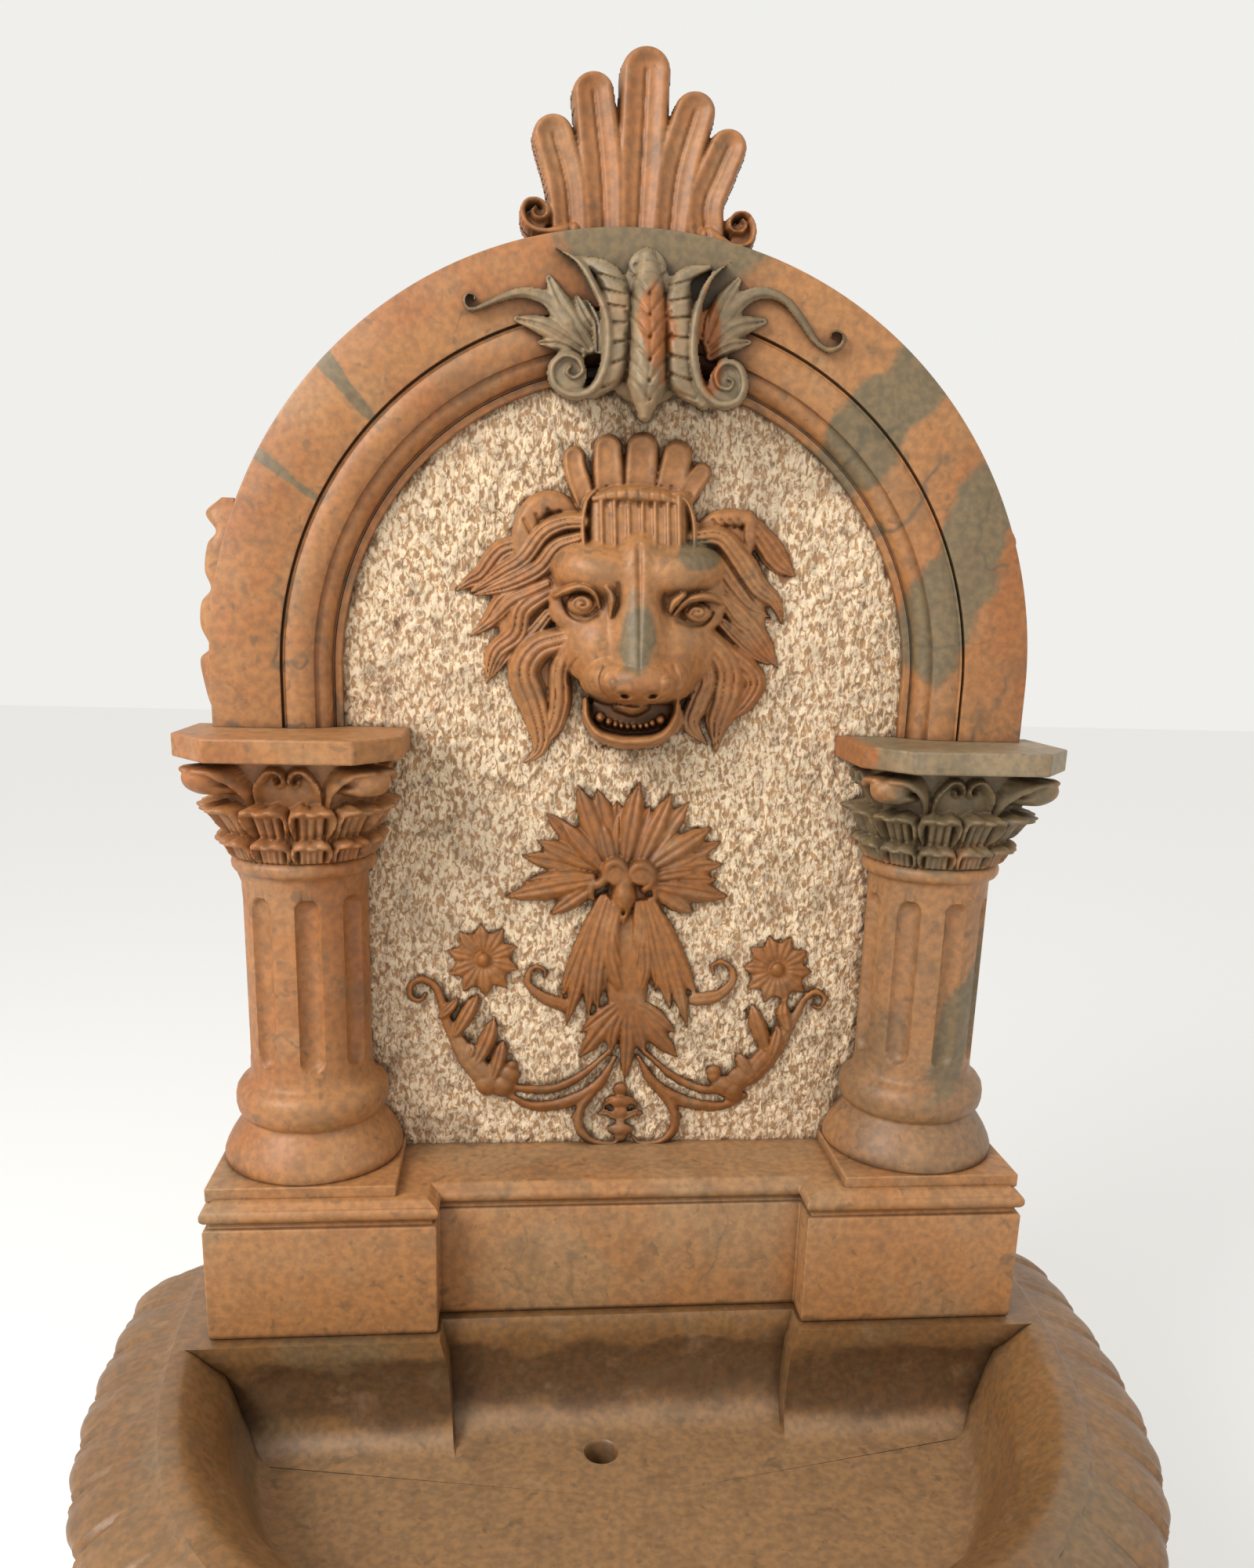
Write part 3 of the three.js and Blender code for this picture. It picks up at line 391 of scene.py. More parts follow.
def basin_outside():
    """Rings from the rim to the foot, swelled into slanting lobes with fine ribs between them."""
    count = LOBES * LOBE_STEPS
    w = BASIN_HI[0]
    # share of the depth below the rim, half width, front inset, share of the lobes' depth
    keys = [(0, 462, 55, 0), (0.012, 466, 53, 0), (0.024, 474, 48, 0.5), (0.06, w - 35, 26, 1),
            (0.11, w - 13, 9, 1), (0.18, w, 0, 1), (0.28, w - 6, 6, 1), (0.42, w - 24, 22, 1),
            (0.54, w - 54, 52, 1), (0.66, w - 95, 92, 1), (0.76, w - 142, 130, 0.8),
            (0.82, w - 170, 154, 0.3), (0.85, w - 175, 160, 0), (0.88, w - 176, 161, 0),
            (0.94, w - 182, 166, 0), (1, w - 188, 171, 0)]
    rings = []
    for share, half_w, inset, lobe in smooth_rows(keys, 4):
        ring, out = squared_oval(half_w, BASIN_REACH - inset, WALL_Y - BASIN_CENTRE_Y, count)
        phase = (np.arange(count) * LOBES / count + LOBE_SLANT * share) % 1
        swell = np.sin(math.pi * phase) ** 0.7 - 1
        rib = np.exp(-((phase - 0.15) / RIB_W) ** 2) + 0.8 * np.exp(-((phase - 0.89) / RIB_W) ** 2)
        shift = LOBE_DEPTH * np.clip(lobe, 0, 1) * (1.2 * swell + 0.36 * rib - 0.1)
        ring = ring + out * shift[:, None]
        y = np.minimum(ring[:, 1] + BASIN_CENTRE_Y, WALL_Y)
        z = np.full(count, RIM_Z - share * (RIM_Z - BASIN_LO[2]))
        rings.append(np.stack([ring[:, 0], y, z], axis=1))
    return rings


def build_basin():
    body = piece("basin_stone", *loft(basin_outside()), "basin", "basin", smooth=50)
    # walls of the bowl: share of its depth, share of its outline, how far the back wall is scooped in mm
    walls = [(-0.05, 1.056, 0), (0, 1.046, 0), (0.015, 1.036, 0), (0.05, 1.022, 0), (0.12, 1.002, 0),
             (0.2, 0.982, 1), (0.28, 0.961, 5), (0.45, 0.945, 6), (0.65, 0.93, 5), (0.82, 0.91, 0),
             (0.92, 0.9, -7), (0.98, 0.885, -18), (1, 0.862, -28)]
    soft = 9  # rounding of the corners at the back wall
    bowl, niche = [], []
    for share, grow, scoop in walls:
        ring = squared_oval(BOWL_HALF_W * grow, BOWL_REACH * grow, BOWL_REACH * grow, 240)[0]
        z = RIM_Z - share * BOWL_DEPTH
        back = BOWL_BACK + scoop - BASIN_CENTRE_Y
        y = back - soft * np.logaddexp(0, (back - ring[:, 1]) / soft) + BASIN_CENTRE_Y
        bowl.append(np.stack([ring[:, 0], y, np.full(len(ring), z)], axis=1))
        x, y = NICHE_HALF_W * (1 + grow) / 2, NICHE_BACK - (1 - grow) * NICHE_SLOPE + scoop
        niche.append([(a, b, z) for a, b in rectangle(-x, x, BOWL_BACK - NICHE_OVERLAP, y)])
    cut(body, raw("bowl", *loft(bowl)))
    cut(body, raw("niche", *loft(niche)))
    turn = np.linspace(0, 2 * math.pi, 48, endpoint=False)
    floor_z = RIM_Z - BOWL_DEPTH
    lip_r = DRAIN_R + DRAIN_LIP
    widths = [(DRAIN_R, BASIN_LO[2] - PAST), (DRAIN_R, floor_z - DRAIN_LIP), (lip_r, floor_z + 0.5),
              (lip_r, floor_z + 30)]
    drain = [[(DRAIN_X + r * math.cos(t), DRAIN_Y + r * math.sin(t), z) for t in turn] for r, z in widths]
    cut(body, raw("drain", *loft(drain)))
    shade(body, 42)
    return body


# Base course
FACE_Z, GROOVE_Z, BEAD_Z = 124, 5, 22  # heights of its face, groove and bead
PLINTH_HALF_W, PLINTH_Z = 95, 15


def build_base_course():
    bead_z = FACE_Z + GROOVE_Z
    # height and how far it stands out
    profile = [(BED, -2), (2, -0.5), (6, 0), (FACE_Z - 3, 0), (FACE_Z - 1, -1), (FACE_Z, -3),
               (FACE_Z + 0.5, -5), (bead_z - 0.5, -5)]
    for t in np.linspace(0, 1, 12):
        profile.append((bead_z + BEAD_Z * 0.8 * t, 2.4 - 7 * abs(2 * t - 1) ** 2.4))
    profile += [(bead_z + BEAD_Z * 0.9, -7), (bead_z + BEAD_Z, -10)]
    rings = []
    for z, grow in profile:
        bx, by, ix, iy = BLOCK_OUT + min(grow, 2), BLOCK_FRONT - grow, BLOCK_IN - grow, MIDDLE_FRONT - grow
        ring = [(-bx, WALL_Y), (-bx, by), (-ix, by), (-ix, iy), (ix, iy), (ix, by), (bx, by), (bx, WALL_Y)]
        rings.append([(x, y, RIM_Z + z) for x, y in ring])
    n = len(rings[0])
    faces = []
    for start in range(0, (len(rings) - 1) * n, n):
        faces += [[start + i, start + (i + 1) % n, start + n + (i + 1) % n, start + n + i] for i in range(n)]
    for start in (0, (len(rings) - 1) * n):
        faces += [[start + i for i in corners] for corners in ((0, 1, 2, 3), (4, 5, 6, 7), (0, 3, 4, 7))]
    points = np.array(rings).reshape(-1, 3)
    body = piece("base_course_stone", points, faces, "base_course", "base_course")
    # seat of the back panel
    seat_w = PANEL_HALF_W + BED
    seat = rectangle(-seat_w, seat_w, PANEL_Y - BED, WALL_Y + PAST)
    cut(body, raw("seat", *upright(seat, (PANEL_LO[2] - BED, COURSE_TOP + PAST))))
    shade(body, 40)
    bevelled(body, 1.6, 60)
    for side, name in ((-1, "plinth_left"), (1, "plinth_right")):
        top, x, w = COLUMN_LO[2] - BED, side * COLUMN_X, PLINTH_HALF_W
        plinth = rectangle(x - w, x + w, COLUMN_Y - w, PANEL_Y - BED)
        bevelled(piece(name, *upright(plinth, (top - PLINTH_Z, top)), "base_course"), 1.8)


# Columns
NECK_Z = RIM_Z + 490
LEAVES = 12
UNROLL = 80.0  # radius at which the capital's carving is drawn flat
BELL_R, BELL_FLARE, BELL_CORNER = 66, 12, 16
FLUTE_STEP, FLUTE_TURN = math.pi / 4, math.radians(10)
FLUTE_HALF_W, FLUTE_DEPTH = 12.3, 9


def capital_carving():
    """Two rows of leaves, corner volutes and helix pairs: run round the bell, height over the neck."""
    span = 2 * math.pi * UNROLL
    c = Carving(-70, span + 70, -3, COLUMN_HI[2] - NECK_Z + 2, 1.1, base=0)
    step = span / LEAVES
    for k in range(-1, LEAVES + 1):
        s = (k + 0.5) * step
        for foot, lip, lift, ribs in ((-2, 19, 13, 4), (24, 53, 19, 3)):
            capital_leaf(c, s, foot, lip, lift, ribs)
    for k in range(-1, 5):
        corner, face = (k + 0.5) * span / 4, k * span / 4
        for way in (-1, 1):
            stem = sided([(26, 56), (25, 74), (17, 90), (6, 92)], way, corner)
            c.band(stem, [5, 7, 10, 12], [6, 14, 26, 30], power=2.2)
            c.hollow(corner + way * 14, 77, 4.5, 5.5, 9)
            c.dome(corner + way * 14, 75.5, 3.6, 4.2, 20, base=8)
            helix = sided([(30, 58), (27, 76), (15, 92), (5, 90), (3, 81), (9, 78), (11, 84)], way, face)
            c.band(helix, [4, 5.5, 7, 7, 6, 5, 4], [5, 9, 12, 13, 13, 13, 12], power=2, steps=50)
        c.dome(corner, 82, 15, 14, 33, base=12, power=3, soft=2)
    c.soften(1)
    return c


def capital_leaf(c, s, foot, lip, lift, ribs):
    """A ribbed leaf at s, from its foot to a curled lip."""
    for i in range(ribs):
        x = s + (i - (ribs - 1) / 2) * 26 / ribs
        c.band([(x, foot), (x, lip - 5)], [24 / ribs, 30 / ribs], [4.5, lift * 0.62], power=2)
    for way in (-1, 1):
        edge = sided([(16, foot), (18.5, (foot + lip) / 2), (17, lip - 3), (9, lip + 4)], way, s)
        c.band(edge, [3.5, 5, 7, 8], [5, lift * 0.8, lift, lift * 1.1], power=2)
        c.dome(s + way * 10, lip + 1, 10, 5.2, lift * 1.3, base=4, turn=-way * 14, soft=1)
    c.dome(s, lip - 0.5, 9, 4.6, lift * 1.35, base=4, soft=1)


def build_column(side, carving):
    foot, top = COLUMN_LO[2], COLUMN_HI[2]
    base = [(92, 0), (93, 2), (93, 8), (91, 14), (86, 24), (79.5, 34), (74, 41), (71, 45), (71, 47.5),
            (74.5, 50), (77.5, 55), (79, 62), (79, 70), (77.5, 77), (73.5, 83), (68, 86.5), (65.5, 88),
            (64, 92), (SHAFT_R, 100)]
    neck = [(SHAFT_R, -22), (64, -18), (66, -16), (69.5, -14.5), (71.6, -11), (72, -7), (71, -3), (67, 0)]
    keys = [(r, foot + z) for r, z in base] + [(r, NECK_Z + z) for r, z in neck]
    radius, level = np.array(keys).T
    low_end, high_end = foot + 109, NECK_Z - 37  # of the flutes
    z = np.unique(np.concatenate([
        level, np.arange(low_end - 2, low_end + 16, 2.0), np.arange(high_end - 16, high_end + 2, 2.0),
        np.arange(low_end + 20, high_end - 20, 26.0), np.arange(NECK_Z, top, 1.2), [top]]))
    count = 300
    theta = np.arange(count) / count * 2 * math.pi
    rise = np.clip((z - NECK_Z) / (top - NECK_Z), 0, 1)[:, None]
    corner = np.sin(2 * theta) ** 2  # 0 on the four faces, 1 on the diagonals
    bell = BELL_R + (BELL_FLARE + BELL_CORNER * corner) * rise ** 1.3
    r = np.where(z[:, None] <= NECK_Z, np.interp(z, level, radius)[:, None] * np.ones(count), bell)
    # eight flutes with round ends
    angle = (theta - FLUTE_TURN) % FLUTE_STEP
    across = (angle - np.where(angle > FLUTE_STEP / 2, FLUTE_STEP, 0)) * SHAFT_R
    past_end = np.maximum(low_end + FLUTE_HALF_W - z, z - (high_end - FLUTE_HALF_W))
    d = np.hypot(across[None, :], np.maximum(past_end, 0)[:, None]) / FLUTE_HALF_W
    shaft = (z > low_end - 1) & (z < high_end + 1)
    r = r - np.where(shaft[:, None], FLUTE_DEPTH * np.sqrt(np.clip(1 - d ** 2, 0, 1)), 0)
    for k in np.nonzero(z > NECK_Z)[0]:
        j = min(np.searchsorted(carving.b, z[k] - NECK_Z), len(carving.b) - 1)
        r[k] += np.interp(theta * UNROLL, carving.a, carving.h[:, j]) * (1 + 0.25 * corner)
    name = "column_left" if side < 0 else "column_right"
    low, high = node_mm(name)
    x = np.clip(side * COLUMN_X + r * np.cos(theta), low[0], high[0])
    y = np.clip(COLUMN_Y + r * np.sin(theta), low[1], PANEL_Y - BED)
    rings = np.stack([x, y, np.broadcast_to(z[:, None], x.shape)], axis=-1)
    return piece(name + "_stone", *loft(rings), name, name, smooth=60)


# Abaci
def build_abacus(side):
    name = "abacus_left" if side < 0 else "abacus_right"
    lo, hi = node_mm(name)
    chamfer, depth = 39, 50
    ring = [(lo[0] + chamfer, lo[1]), (hi[0] - chamfer, lo[1]), (hi[0], lo[1] + depth), (hi[0], hi[1]),
            (lo[0], hi[1]), (lo[0], lo[1] + depth)]
    body = upright(ring, (lo[2], hi[2]))
    return bevelled(piece(name + "_stone", *body, name, name, smooth=30), 2.2)


# Arch
STILT = 18  # straight stretch over the abacus


def build_arch():
    foot = ABACUS_TOP + BED
    back = ARCH_RECESS - BED
    # section from the outer edge inwards: distance from the outer edge, depth behind the arch face
    section = [(0, back), (0, 2.5), (0.7, 0.8), (2.5, 0), (65.5, 0), (67, 0.8), (67.8, 7.5), (69.4, 7.5),
               (70, 1)]
    for t in np.linspace(0.06, 0.97, 9):
        section.append((70 + 28 * t, 1.6 * t - 4 * math.sin(math.pi * t) ** 0.7 + 4))
    section += [(98.6, 6), (99, 11.5), (100.6, 11.8)]
    for t in np.linspace(0.25, math.pi / 2, 7):
        section.append((100.6 + 13 * math.sin(t), 11 + 14 * (1 - math.cos(t))))
    section += [(114.2, 27.5), (115.4, 27.8), (116.6, 25.6), (ARCH_W - 1, 26.2), (ARCH_W, 27.4),
                (ARCH_W, back)]
    section = np.array(section)
    r, y = ARCH_R - section[:, 0], FACE_Y + section[:, 1]
    rings = [np.stack([r, y, np.full(len(r), z)], axis=1) for z in (foot, foot + STILT)]
    for a in np.linspace(0, math.pi, 161):
        rings.append(np.stack([r * math.cos(a), y, ARCH_Z + r * math.sin(a)], axis=1))
    rings += [np.stack([-r, y, np.full(len(r), z)], axis=1) for z in (foot + STILT, foot)]
    return piece("arch_stone", *loft(rings), "arch", "arch", smooth=35)


KEYSTONE_U, KEYSTONE_V = 826.1, 422.9  # pixel of the drawing's origin
KEYSTONE_PIXEL = 1 / 2.8
KEYSTONE_HORNS = (
    ([(-240, 262), (-150, 215), (-112, 120), (-108, -40), (-125, -150), (-190, -215)],
     [30, 100, 130, 110, 110, 60]),
    ([(220, 228), (140, 200), (112, 130), (118, -60), (125, -170), (200, -250)], [30, 90, 130, 130, 130, 70]))
KEYSTONE_LEAVES = (
    ([(-205, -60), (-300, 90), (-350, 190)], 92), ([(-190, 10), (-225, 70), (-252, 125)], 60),
    ([(-235, -60), (-360, 15), (-465, 45)], 86), ([(-235, -85), (-310, -45), (-385, -38)], 66),
    ([(-175, -70), (-180, 30), (-215, 110)], 50), ([(215, -40), (262, 90), (325, 182)], 84),
    ([(195, -20), (205, 50), (220, 85)], 50), ([(225, -60), (310, 10), (415, 35)], 92),
    ([(225, -90), (290, -52), (362, -38)], 72))
KEYSTONE_RIMS = (
    [(-333, 303), (-245, 248), (-185, 150), (-145, 50), (-140, -60), (-160, -150), (-205, -212), (-275, -225),
     (-332, -185), (-340, -125), (-300, -85), (-250, -98), (-232, -140), (-262, -165), (-288, -145),
     (-276, -125)],
    [(298, 248), (230, 195), (185, 100), (165, 0), (165, -100), (190, -195), (250, -255), (318, -248),
     (345, -190), (325, -125), (275, -112), (245, -150), (255, -195), (292, -205), (305, -180), (288, -168)])


def build_keystone():
    """Leaf between two horns over the arch's crown; z up and x right from its middle, in drawing units."""
    c = Carving(-690, 730, -330, 320, 4.1)
    c.band([(0, 230), (0, 40), (-4, -120)], [150, 290, 300], [14, 26, 20], power=5)
    for a, b in ((-286, -152), (288, -185)):
        c.dome(a, b, 74, 80, 39, base=35)
    for points, width in KEYSTONE_HORNS:
        c.band(points, width, [16, 30, 38, 44, 42, 34], power=3.4, steps=40)
    for s, rows in ((-1, (215, 175, 130, 85, 30, -35, -100, -170)),
                    (1, (205, 160, 105, 45, -20, -85, -150, -205))):
        for z in rows:
            c.groove([(s * 78, z + 2), (s * 120, z * 1.09), (s * 172, z * 1.17)], [5.5], [3.2], steps=12)
    for points, w in KEYSTONE_LEAVES:
        c.band(points, [w * 0.7, w, w * 0.95, w * 0.45], [13, 17, 16, 10], groove=3, power=2.8)
    # S-shaped tails, each with a scroll
    c.band([(-250, -20), (-330, 100), (-430, 138), (-510, 125), (-580, 95), (-635, 80), (-655, 112),
            (-640, 138), (-618, 125), (-622, 108)], [80, 110, 96, 66, 50, 42, 34, 28, 22, 14],
           [14, 17, 15, 13] + 6 * [12], strands=2, depth=2, steps=90)
    c.band([(230, -30), (310, 90), (405, 138), (490, 112), (550, 40), (600, -35), (650, -66), (692, -48),
            (700, -12), (672, 2), (655, -18), (668, -28)], [80, 100, 90, 66, 52, 46, 46, 42, 36, 30, 22, 14],
           [14, 17, 15, 13] + 8 * [12], strands=2, depth=2, steps=100)
    # rims of the horns, each ending in a volute
    for points in KEYSTONE_RIMS:
        c.band(points, [12, 26, 34, 36, 38, 44, 50, 52, 50, 48, 44, 40, 36, 30, 26, 20],
               [16, 26, 36, 42, 46, 48, 48, 46, 44, 43, 42, 43, 44, 45, 46, 46], power=3, steps=130)
    # middle leaf with chevrons
    c.band([(0, 272), (3, 200), (3, 60), (0, -120), (-5, -225), (-10, -300)], [70, 130, 160, 164, 168, 60],
           [22, 38, 50, 54, 53, 36], power=2.6, steps=44)
    for z in (185, 110, 30, -50, -125, -190):
        for x0 in (-76, 84):
            c.groove([(x0, z + 40), (x0 * 0.55, z + 4), (8, z - 52)], [6], [2.8])
    for z in (245, 205):
        c.groove([(-45, z - 8), (0, z + 6), (45, z - 8)], [5], [2.2])
    c.groove([(10, 150), (12, -60), (-4, -250)], [5], [1.4])
    c.soften(1)
    mesh = c.seen_mesh(KEYSTONE_U, KEYSTONE_V, KEYSTONE_PIXEL, FACE_Y, above=0.4, foot=1 - ARCH_RECESS)
    return piece("keystone_carving", *mesh, "arch", smooth=60, closed=False)


# Palmette
PALMETTE_U, PALMETTE_V = 821.8, 290.2
PALMETTE_PIXEL = 1 / 3.267
PALMETTE_HALF_Y = 24
PALMETTE_SCROLLS = (
    [(-300, 0), (-420, -8), (-488, 24), (-508, 82), (-486, 124), (-440, 128), (-404, 100), (-408, 60),
     (-444, 52), (-466, 80), (-450, 104)],
    [(270, -20), (380, -72), (448, -56), (464, 6), (438, 62), (392, 68), (362, 36), (372, -2), (412, -8),
     (434, 22), (416, 48)])
PALMETTE_LOBES = (
    ([(-303, -20), (-325, 210), (-378, 408)], [165, 186, 186]),
    ([(270, -30), (262, 115), (315, 250), (358, 350)], [165, 180, 180, 172]),
    ([(-160, -20), (-173, 250), (-208, 585)], [175, 205, 190]),
    ([(115, -20), (145, 250), (218, 500)], [175, 205, 190]),
    ([(-18, -20), (-5, 250), (14, 676)], [175, 220, 222]))


def build_palmette():
    """Five dished lobes over two scrolls; z up and x right from the middle of its foot, in drawing units."""
    c = Carving(-560, 520, -110, 830, 5.6)
    for points in PALMETTE_SCROLLS:
        c.band(points, [90, 66, 48, 42, 38, 36, 34, 32, 28, 24, 18],
               [20, 22, 22, 22, 22, 22, 21, 20, 20, 20, 20], power=3, steps=90)
        c.dome(*points[8], 52, 52, 13, base=10)
        c.dome(*points[8], 22, 22, 17, base=6)
    for points, width in PALMETTE_LOBES:
        c.band(points, width, [17, 20, 23], dish=7, power=6, steps=24)
        c.groove(points, [8], [3.6])
    c.soften(2)
    mid_y = FACE_Y + 38
    place = (PALMETTE_U, PALMETTE_V, PALMETTE_PIXEL, mid_y)
    front = c.seen_mesh(*place, above=1, foot=-1, plane=PALMETTE_HALF_Y)
    obj = piece("palmette_stone", *front, "palmette", "palmette", smooth=55, closed=False)
    c.h = np.where(c.h > 1, 23.0, c.h)
    points, faces = c.seen_mesh(*place, above=1, foot=-1, plane=PALMETTE_HALF_Y)
    points[:, 1] = 2 * mid_y - points[:, 1]
    piece("palmette_back", points, [face[::-1] for face in faces], "palmette", smooth=55, closed=False)
    return obj


# Back panel
PANEL_INSET = 2  # behind the arch's outer edge
PANEL_STEP = 66  # its wide part starts so far below the abacus
PICKED_CELL = 2.5
PICKED_SEED = 7
PICKED_STANDS = 2.6  # mean height over the panel
PICKED_TUCK = 5  # how far it runs under the arch
PICKED_ROOT = 16  # how far it runs down behind the base course


def build_panel():
    a = np.linspace(0, math.pi, 121)
    r = ARCH_R - PANEL_INSET
    w, low, step_z = PANEL_HALF_W, PANEL_LO[2], ABACUS_TOP - PANEL_STEP
    outline = [(r * math.cos(t), ARCH_Z + r * math.sin(t)) for t in a]
    outline += [(-r, step_z), (-w, step_z), (-w, low), (w, low), (w, step_z), (r, step_z)]
    body = loft([[(x, y, z) for x, z in outline] for y in (PANEL_Y, WALL_Y)])
    return piece("back_panel_stone", *body, "back_panel", "back_panel", smooth=30)


def roughness_noise(shape, layers, seed):
    """Smooth random heights: each layer has a patch size in cells and a depth."""
    rng = np.random.default_rng(seed)
    total = np.zeros(shape)
    for size, depth in layers:
        coarse = rng.normal(size=(shape[0] // size + 3, shape[1] // size + 3))
        i, j = np.arange(shape[0]) / size, np.arange(shape[1]) / size
        i0, j0 = i.astype(int), j.astype(int)
        fi, fj = (i - i0)[:, None], (j - j0)[None, :]
        low = coarse[i0][:, j0] * (1 - fj) + coarse[i0][:, j0 + 1] * fj
        high = coarse[i0 + 1][:, j0] * (1 - fj) + coarse[i0 + 1][:, j0 + 1] * fj
        total += depth * (low * (1 - fi) + high * fi)
    return total


def build_picked_face():
    """Rough picked surface inside the arch."""
    cell, inside_r = PICKED_CELL, ARCH_R - ARCH_W + PICKED_TUCK
    x = np.arange(-inside_r, inside_r + cell, cell)
    z = np.arange(COURSE_TOP - PICKED_ROOT, ARCH_Z + inside_r, cell)
    gx, gz = np.meshgrid(x, z, indexing="ij")
    rough = roughness_noise(gx.shape, ((1, 0.35), (2, 0.9), (4, 0.7), (18, 0.5)), PICKED_SEED)
    y = PANEL_Y - PICKED_STANDS - np.clip(rough, -2.2, 2.2) * 1.1
    inside = (gz < ARCH_Z) | (np.hypot(gx, gz - ARCH_Z) < inside_r)
    cells = inside[:-1, :-1] & inside[1:, :-1] & inside[1:, 1:] & inside[:-1, 1:]
    points = np.stack([gx, y, gz], axis=-1).reshape(-1, 3)
    mesh = only_used(points, grid_faces(np.arange(gx.size).reshape(gx.shape), cells))
    return piece("picked_face", *mesh, "back_panel", smooth=80, closed=False)


# Lion mask: z up and x right from between the brows, in drawing units; heights in mm
LION_U, LION_V = 815.6, 724.3
LION_PIXEL = 1 / 3.4087
# points, width, height at the root, strands
LOCKS_BEHIND = (
    ([(-500, 100), (-600, 70), (-680, -30), (-735, -60), (-800, -100)], 110, 20, 4),
    ([(-380, -60), (-490, -110), (-590, -150), (-650, -230), (-740, -300)], 105, 26, 4),
    ([(-395, -200), (-470, -290), (-575, -370), (-640, -480)], 90, 24, 4),
    ([(-390, -100), (-505, -180), (-535, -290), (-625, -370), (-665, -505)], 120, 30, 4),
    ([(505, 165), (560, 90), (610, 20), (680, -38)], 120, 22, 4),
    ([(365, -240), (465, -340), (565, -425)], 80, 24, 4),
    ([(365, -140), (455, -230), (525, -320), (605, -438)], 110, 28, 4),
    ([(315, -320), (415, -400), (500, -490), (455, -590), (350, -685)], 105, 28, 4))
LOCKS_IN_FRONT = (
    ([(-325, -310), (-440, -350), (-500, -450), (-455, -590), (-425, -720), (-440, -800), (-500, -845)],
     150, 34, 4),
    ([(-310, -350), (-345, -450), (-345, -580), (-372, -690), (-430, -790)], 105, 36, 3),
    ([(290, -310), (385, -430), (380, -560), (340, -680), (335, -800)], 150, 34, 4),
    ([(265, -360), (290, -480), (250, -590), (225, -680), (300, -775)], 105, 36, 3),
    ([(-395, -70), (-480, -110), (-560, -150), (-640, -230), (-690, -262)], 80, 34, 3),
    ([(-250, 200), (-330, 195), (-420, 150), (-505, 40), (-600, -20), (-740, -110)], 110, 42, 4),
    ([(-260, 125), (-355, 90), (-430, 0), (-540, -60), (-640, -95), (-720, -118)], 110, 43, 4),
    ([(-310, 60), (-380, 0), (-450, -70), (-540, -110)], 80, 38, 3),
    ([(245, 130), (355, 130), (440, 30), (520, -90), (590, -150), (622, -245)], 120, 42, 4),
    ([(260, 65), (330, 20), (400, -80), (480, -170), (570, -215)], 110, 42, 4),
    ([(365, -140), (430, -230), (500, -280), (560, -345)], 70, 34, 3))


def locks(c, rows):
    for points, width, high, strands in rows:
        widths = [width * 0.9, width * 1.05, width * 1.1, width * 0.85, width * 0.12]
        c.band(points, widths, [high, high * 0.75, high * 0.5, 8], strands=strands, depth=4, power=2.8,
               steps=34)


def lion_ears(c):
    c.band([(-500, 40), (-495, 170), (-440, 265), (-350, 280), (-262, 215)], [110, 120, 130, 110, 60],
           [22, 26, 27, 26, 20], power=4, steps=40)
    c.band([(262, 180), (350, 212), (440, 215), (478, 205), (480, 120), (475, 50)], [50, 90, 90, 80, 70, 30],
           [22, 26, 27, 26, 22, 16], power=4, steps=40)
    c.band([(-440, 70), (-390, 180), (-300, 200)], [150, 170, 90], [18, 20, 18], power=4)
    c.band([(330, 150), (420, 150), (450, 90)], [110, 100, 50], [20, 20, 16], power=4)
    for a, b in ((-495, 175), (-443, 197), (-391, 219), (-339, 207), (-287, 195)):
        c.groove([(a - 6, b + 34), (a + 34, b - 42)], [9], [3.4])
    for a in (320, 358, 396, 434):
        c.groove([(a, 208), (a + 18, 180)], [7], [2.6])


def lion_crown(c):
    """Dished lobes over a rolled lip and a fluted plaque."""
    for points, width in (([(-232, 285), (-275, 420), (-284, 482)], [84, 104, 104]),
                          ([(195, 300), (240, 372), (270, 412)], [80, 98, 98]),
                          ([(130, 310), (155, 430), (166, 492)], [120, 140, 138]),
                          ([(-125, 310), (-134, 430), (-136, 520)], [120, 136, 134]),
                          ([(4, 315), (10, 430), (14, 520)], [130, 148, 150])):
        c.band(points, [width[0] * 1.3, width[1] * 1.12, width[2]], [26, 27, 24], dish=7, power=3)
    c.band([(0, 330), (0, 65)], [470, 470], [34, 49], power=10, square=True)
    for x in (-165, -108, -48, 12, 68, 124, 172):
        c.band([(x, 320), (x + 4, 66)], [60, 62], [38, 53], power=2, square=True)
    c.band([(-190, 335), (-228, 290), (-245, 190), (-238, 60)], [20, 30, 32, 30], [34, 40, 44, 48], power=3)
    c.band([(170, 320), (215, 275), (238, 190), (240, 60)], [20, 30, 34, 30], [34, 40, 44, 48], power=3)
    c.band([(-195, 300), (-110, 318), (-5, 318), (95, 308), (178, 282)], [46, 84, 92, 84, 46],
           [38, 44, 46, 44, 38], power=3)
    for x in (-140, -95, -48, 0, 48, 95, 140):
        c.groove([(x, 352), (x + 2, 268)], [7], [1.8])


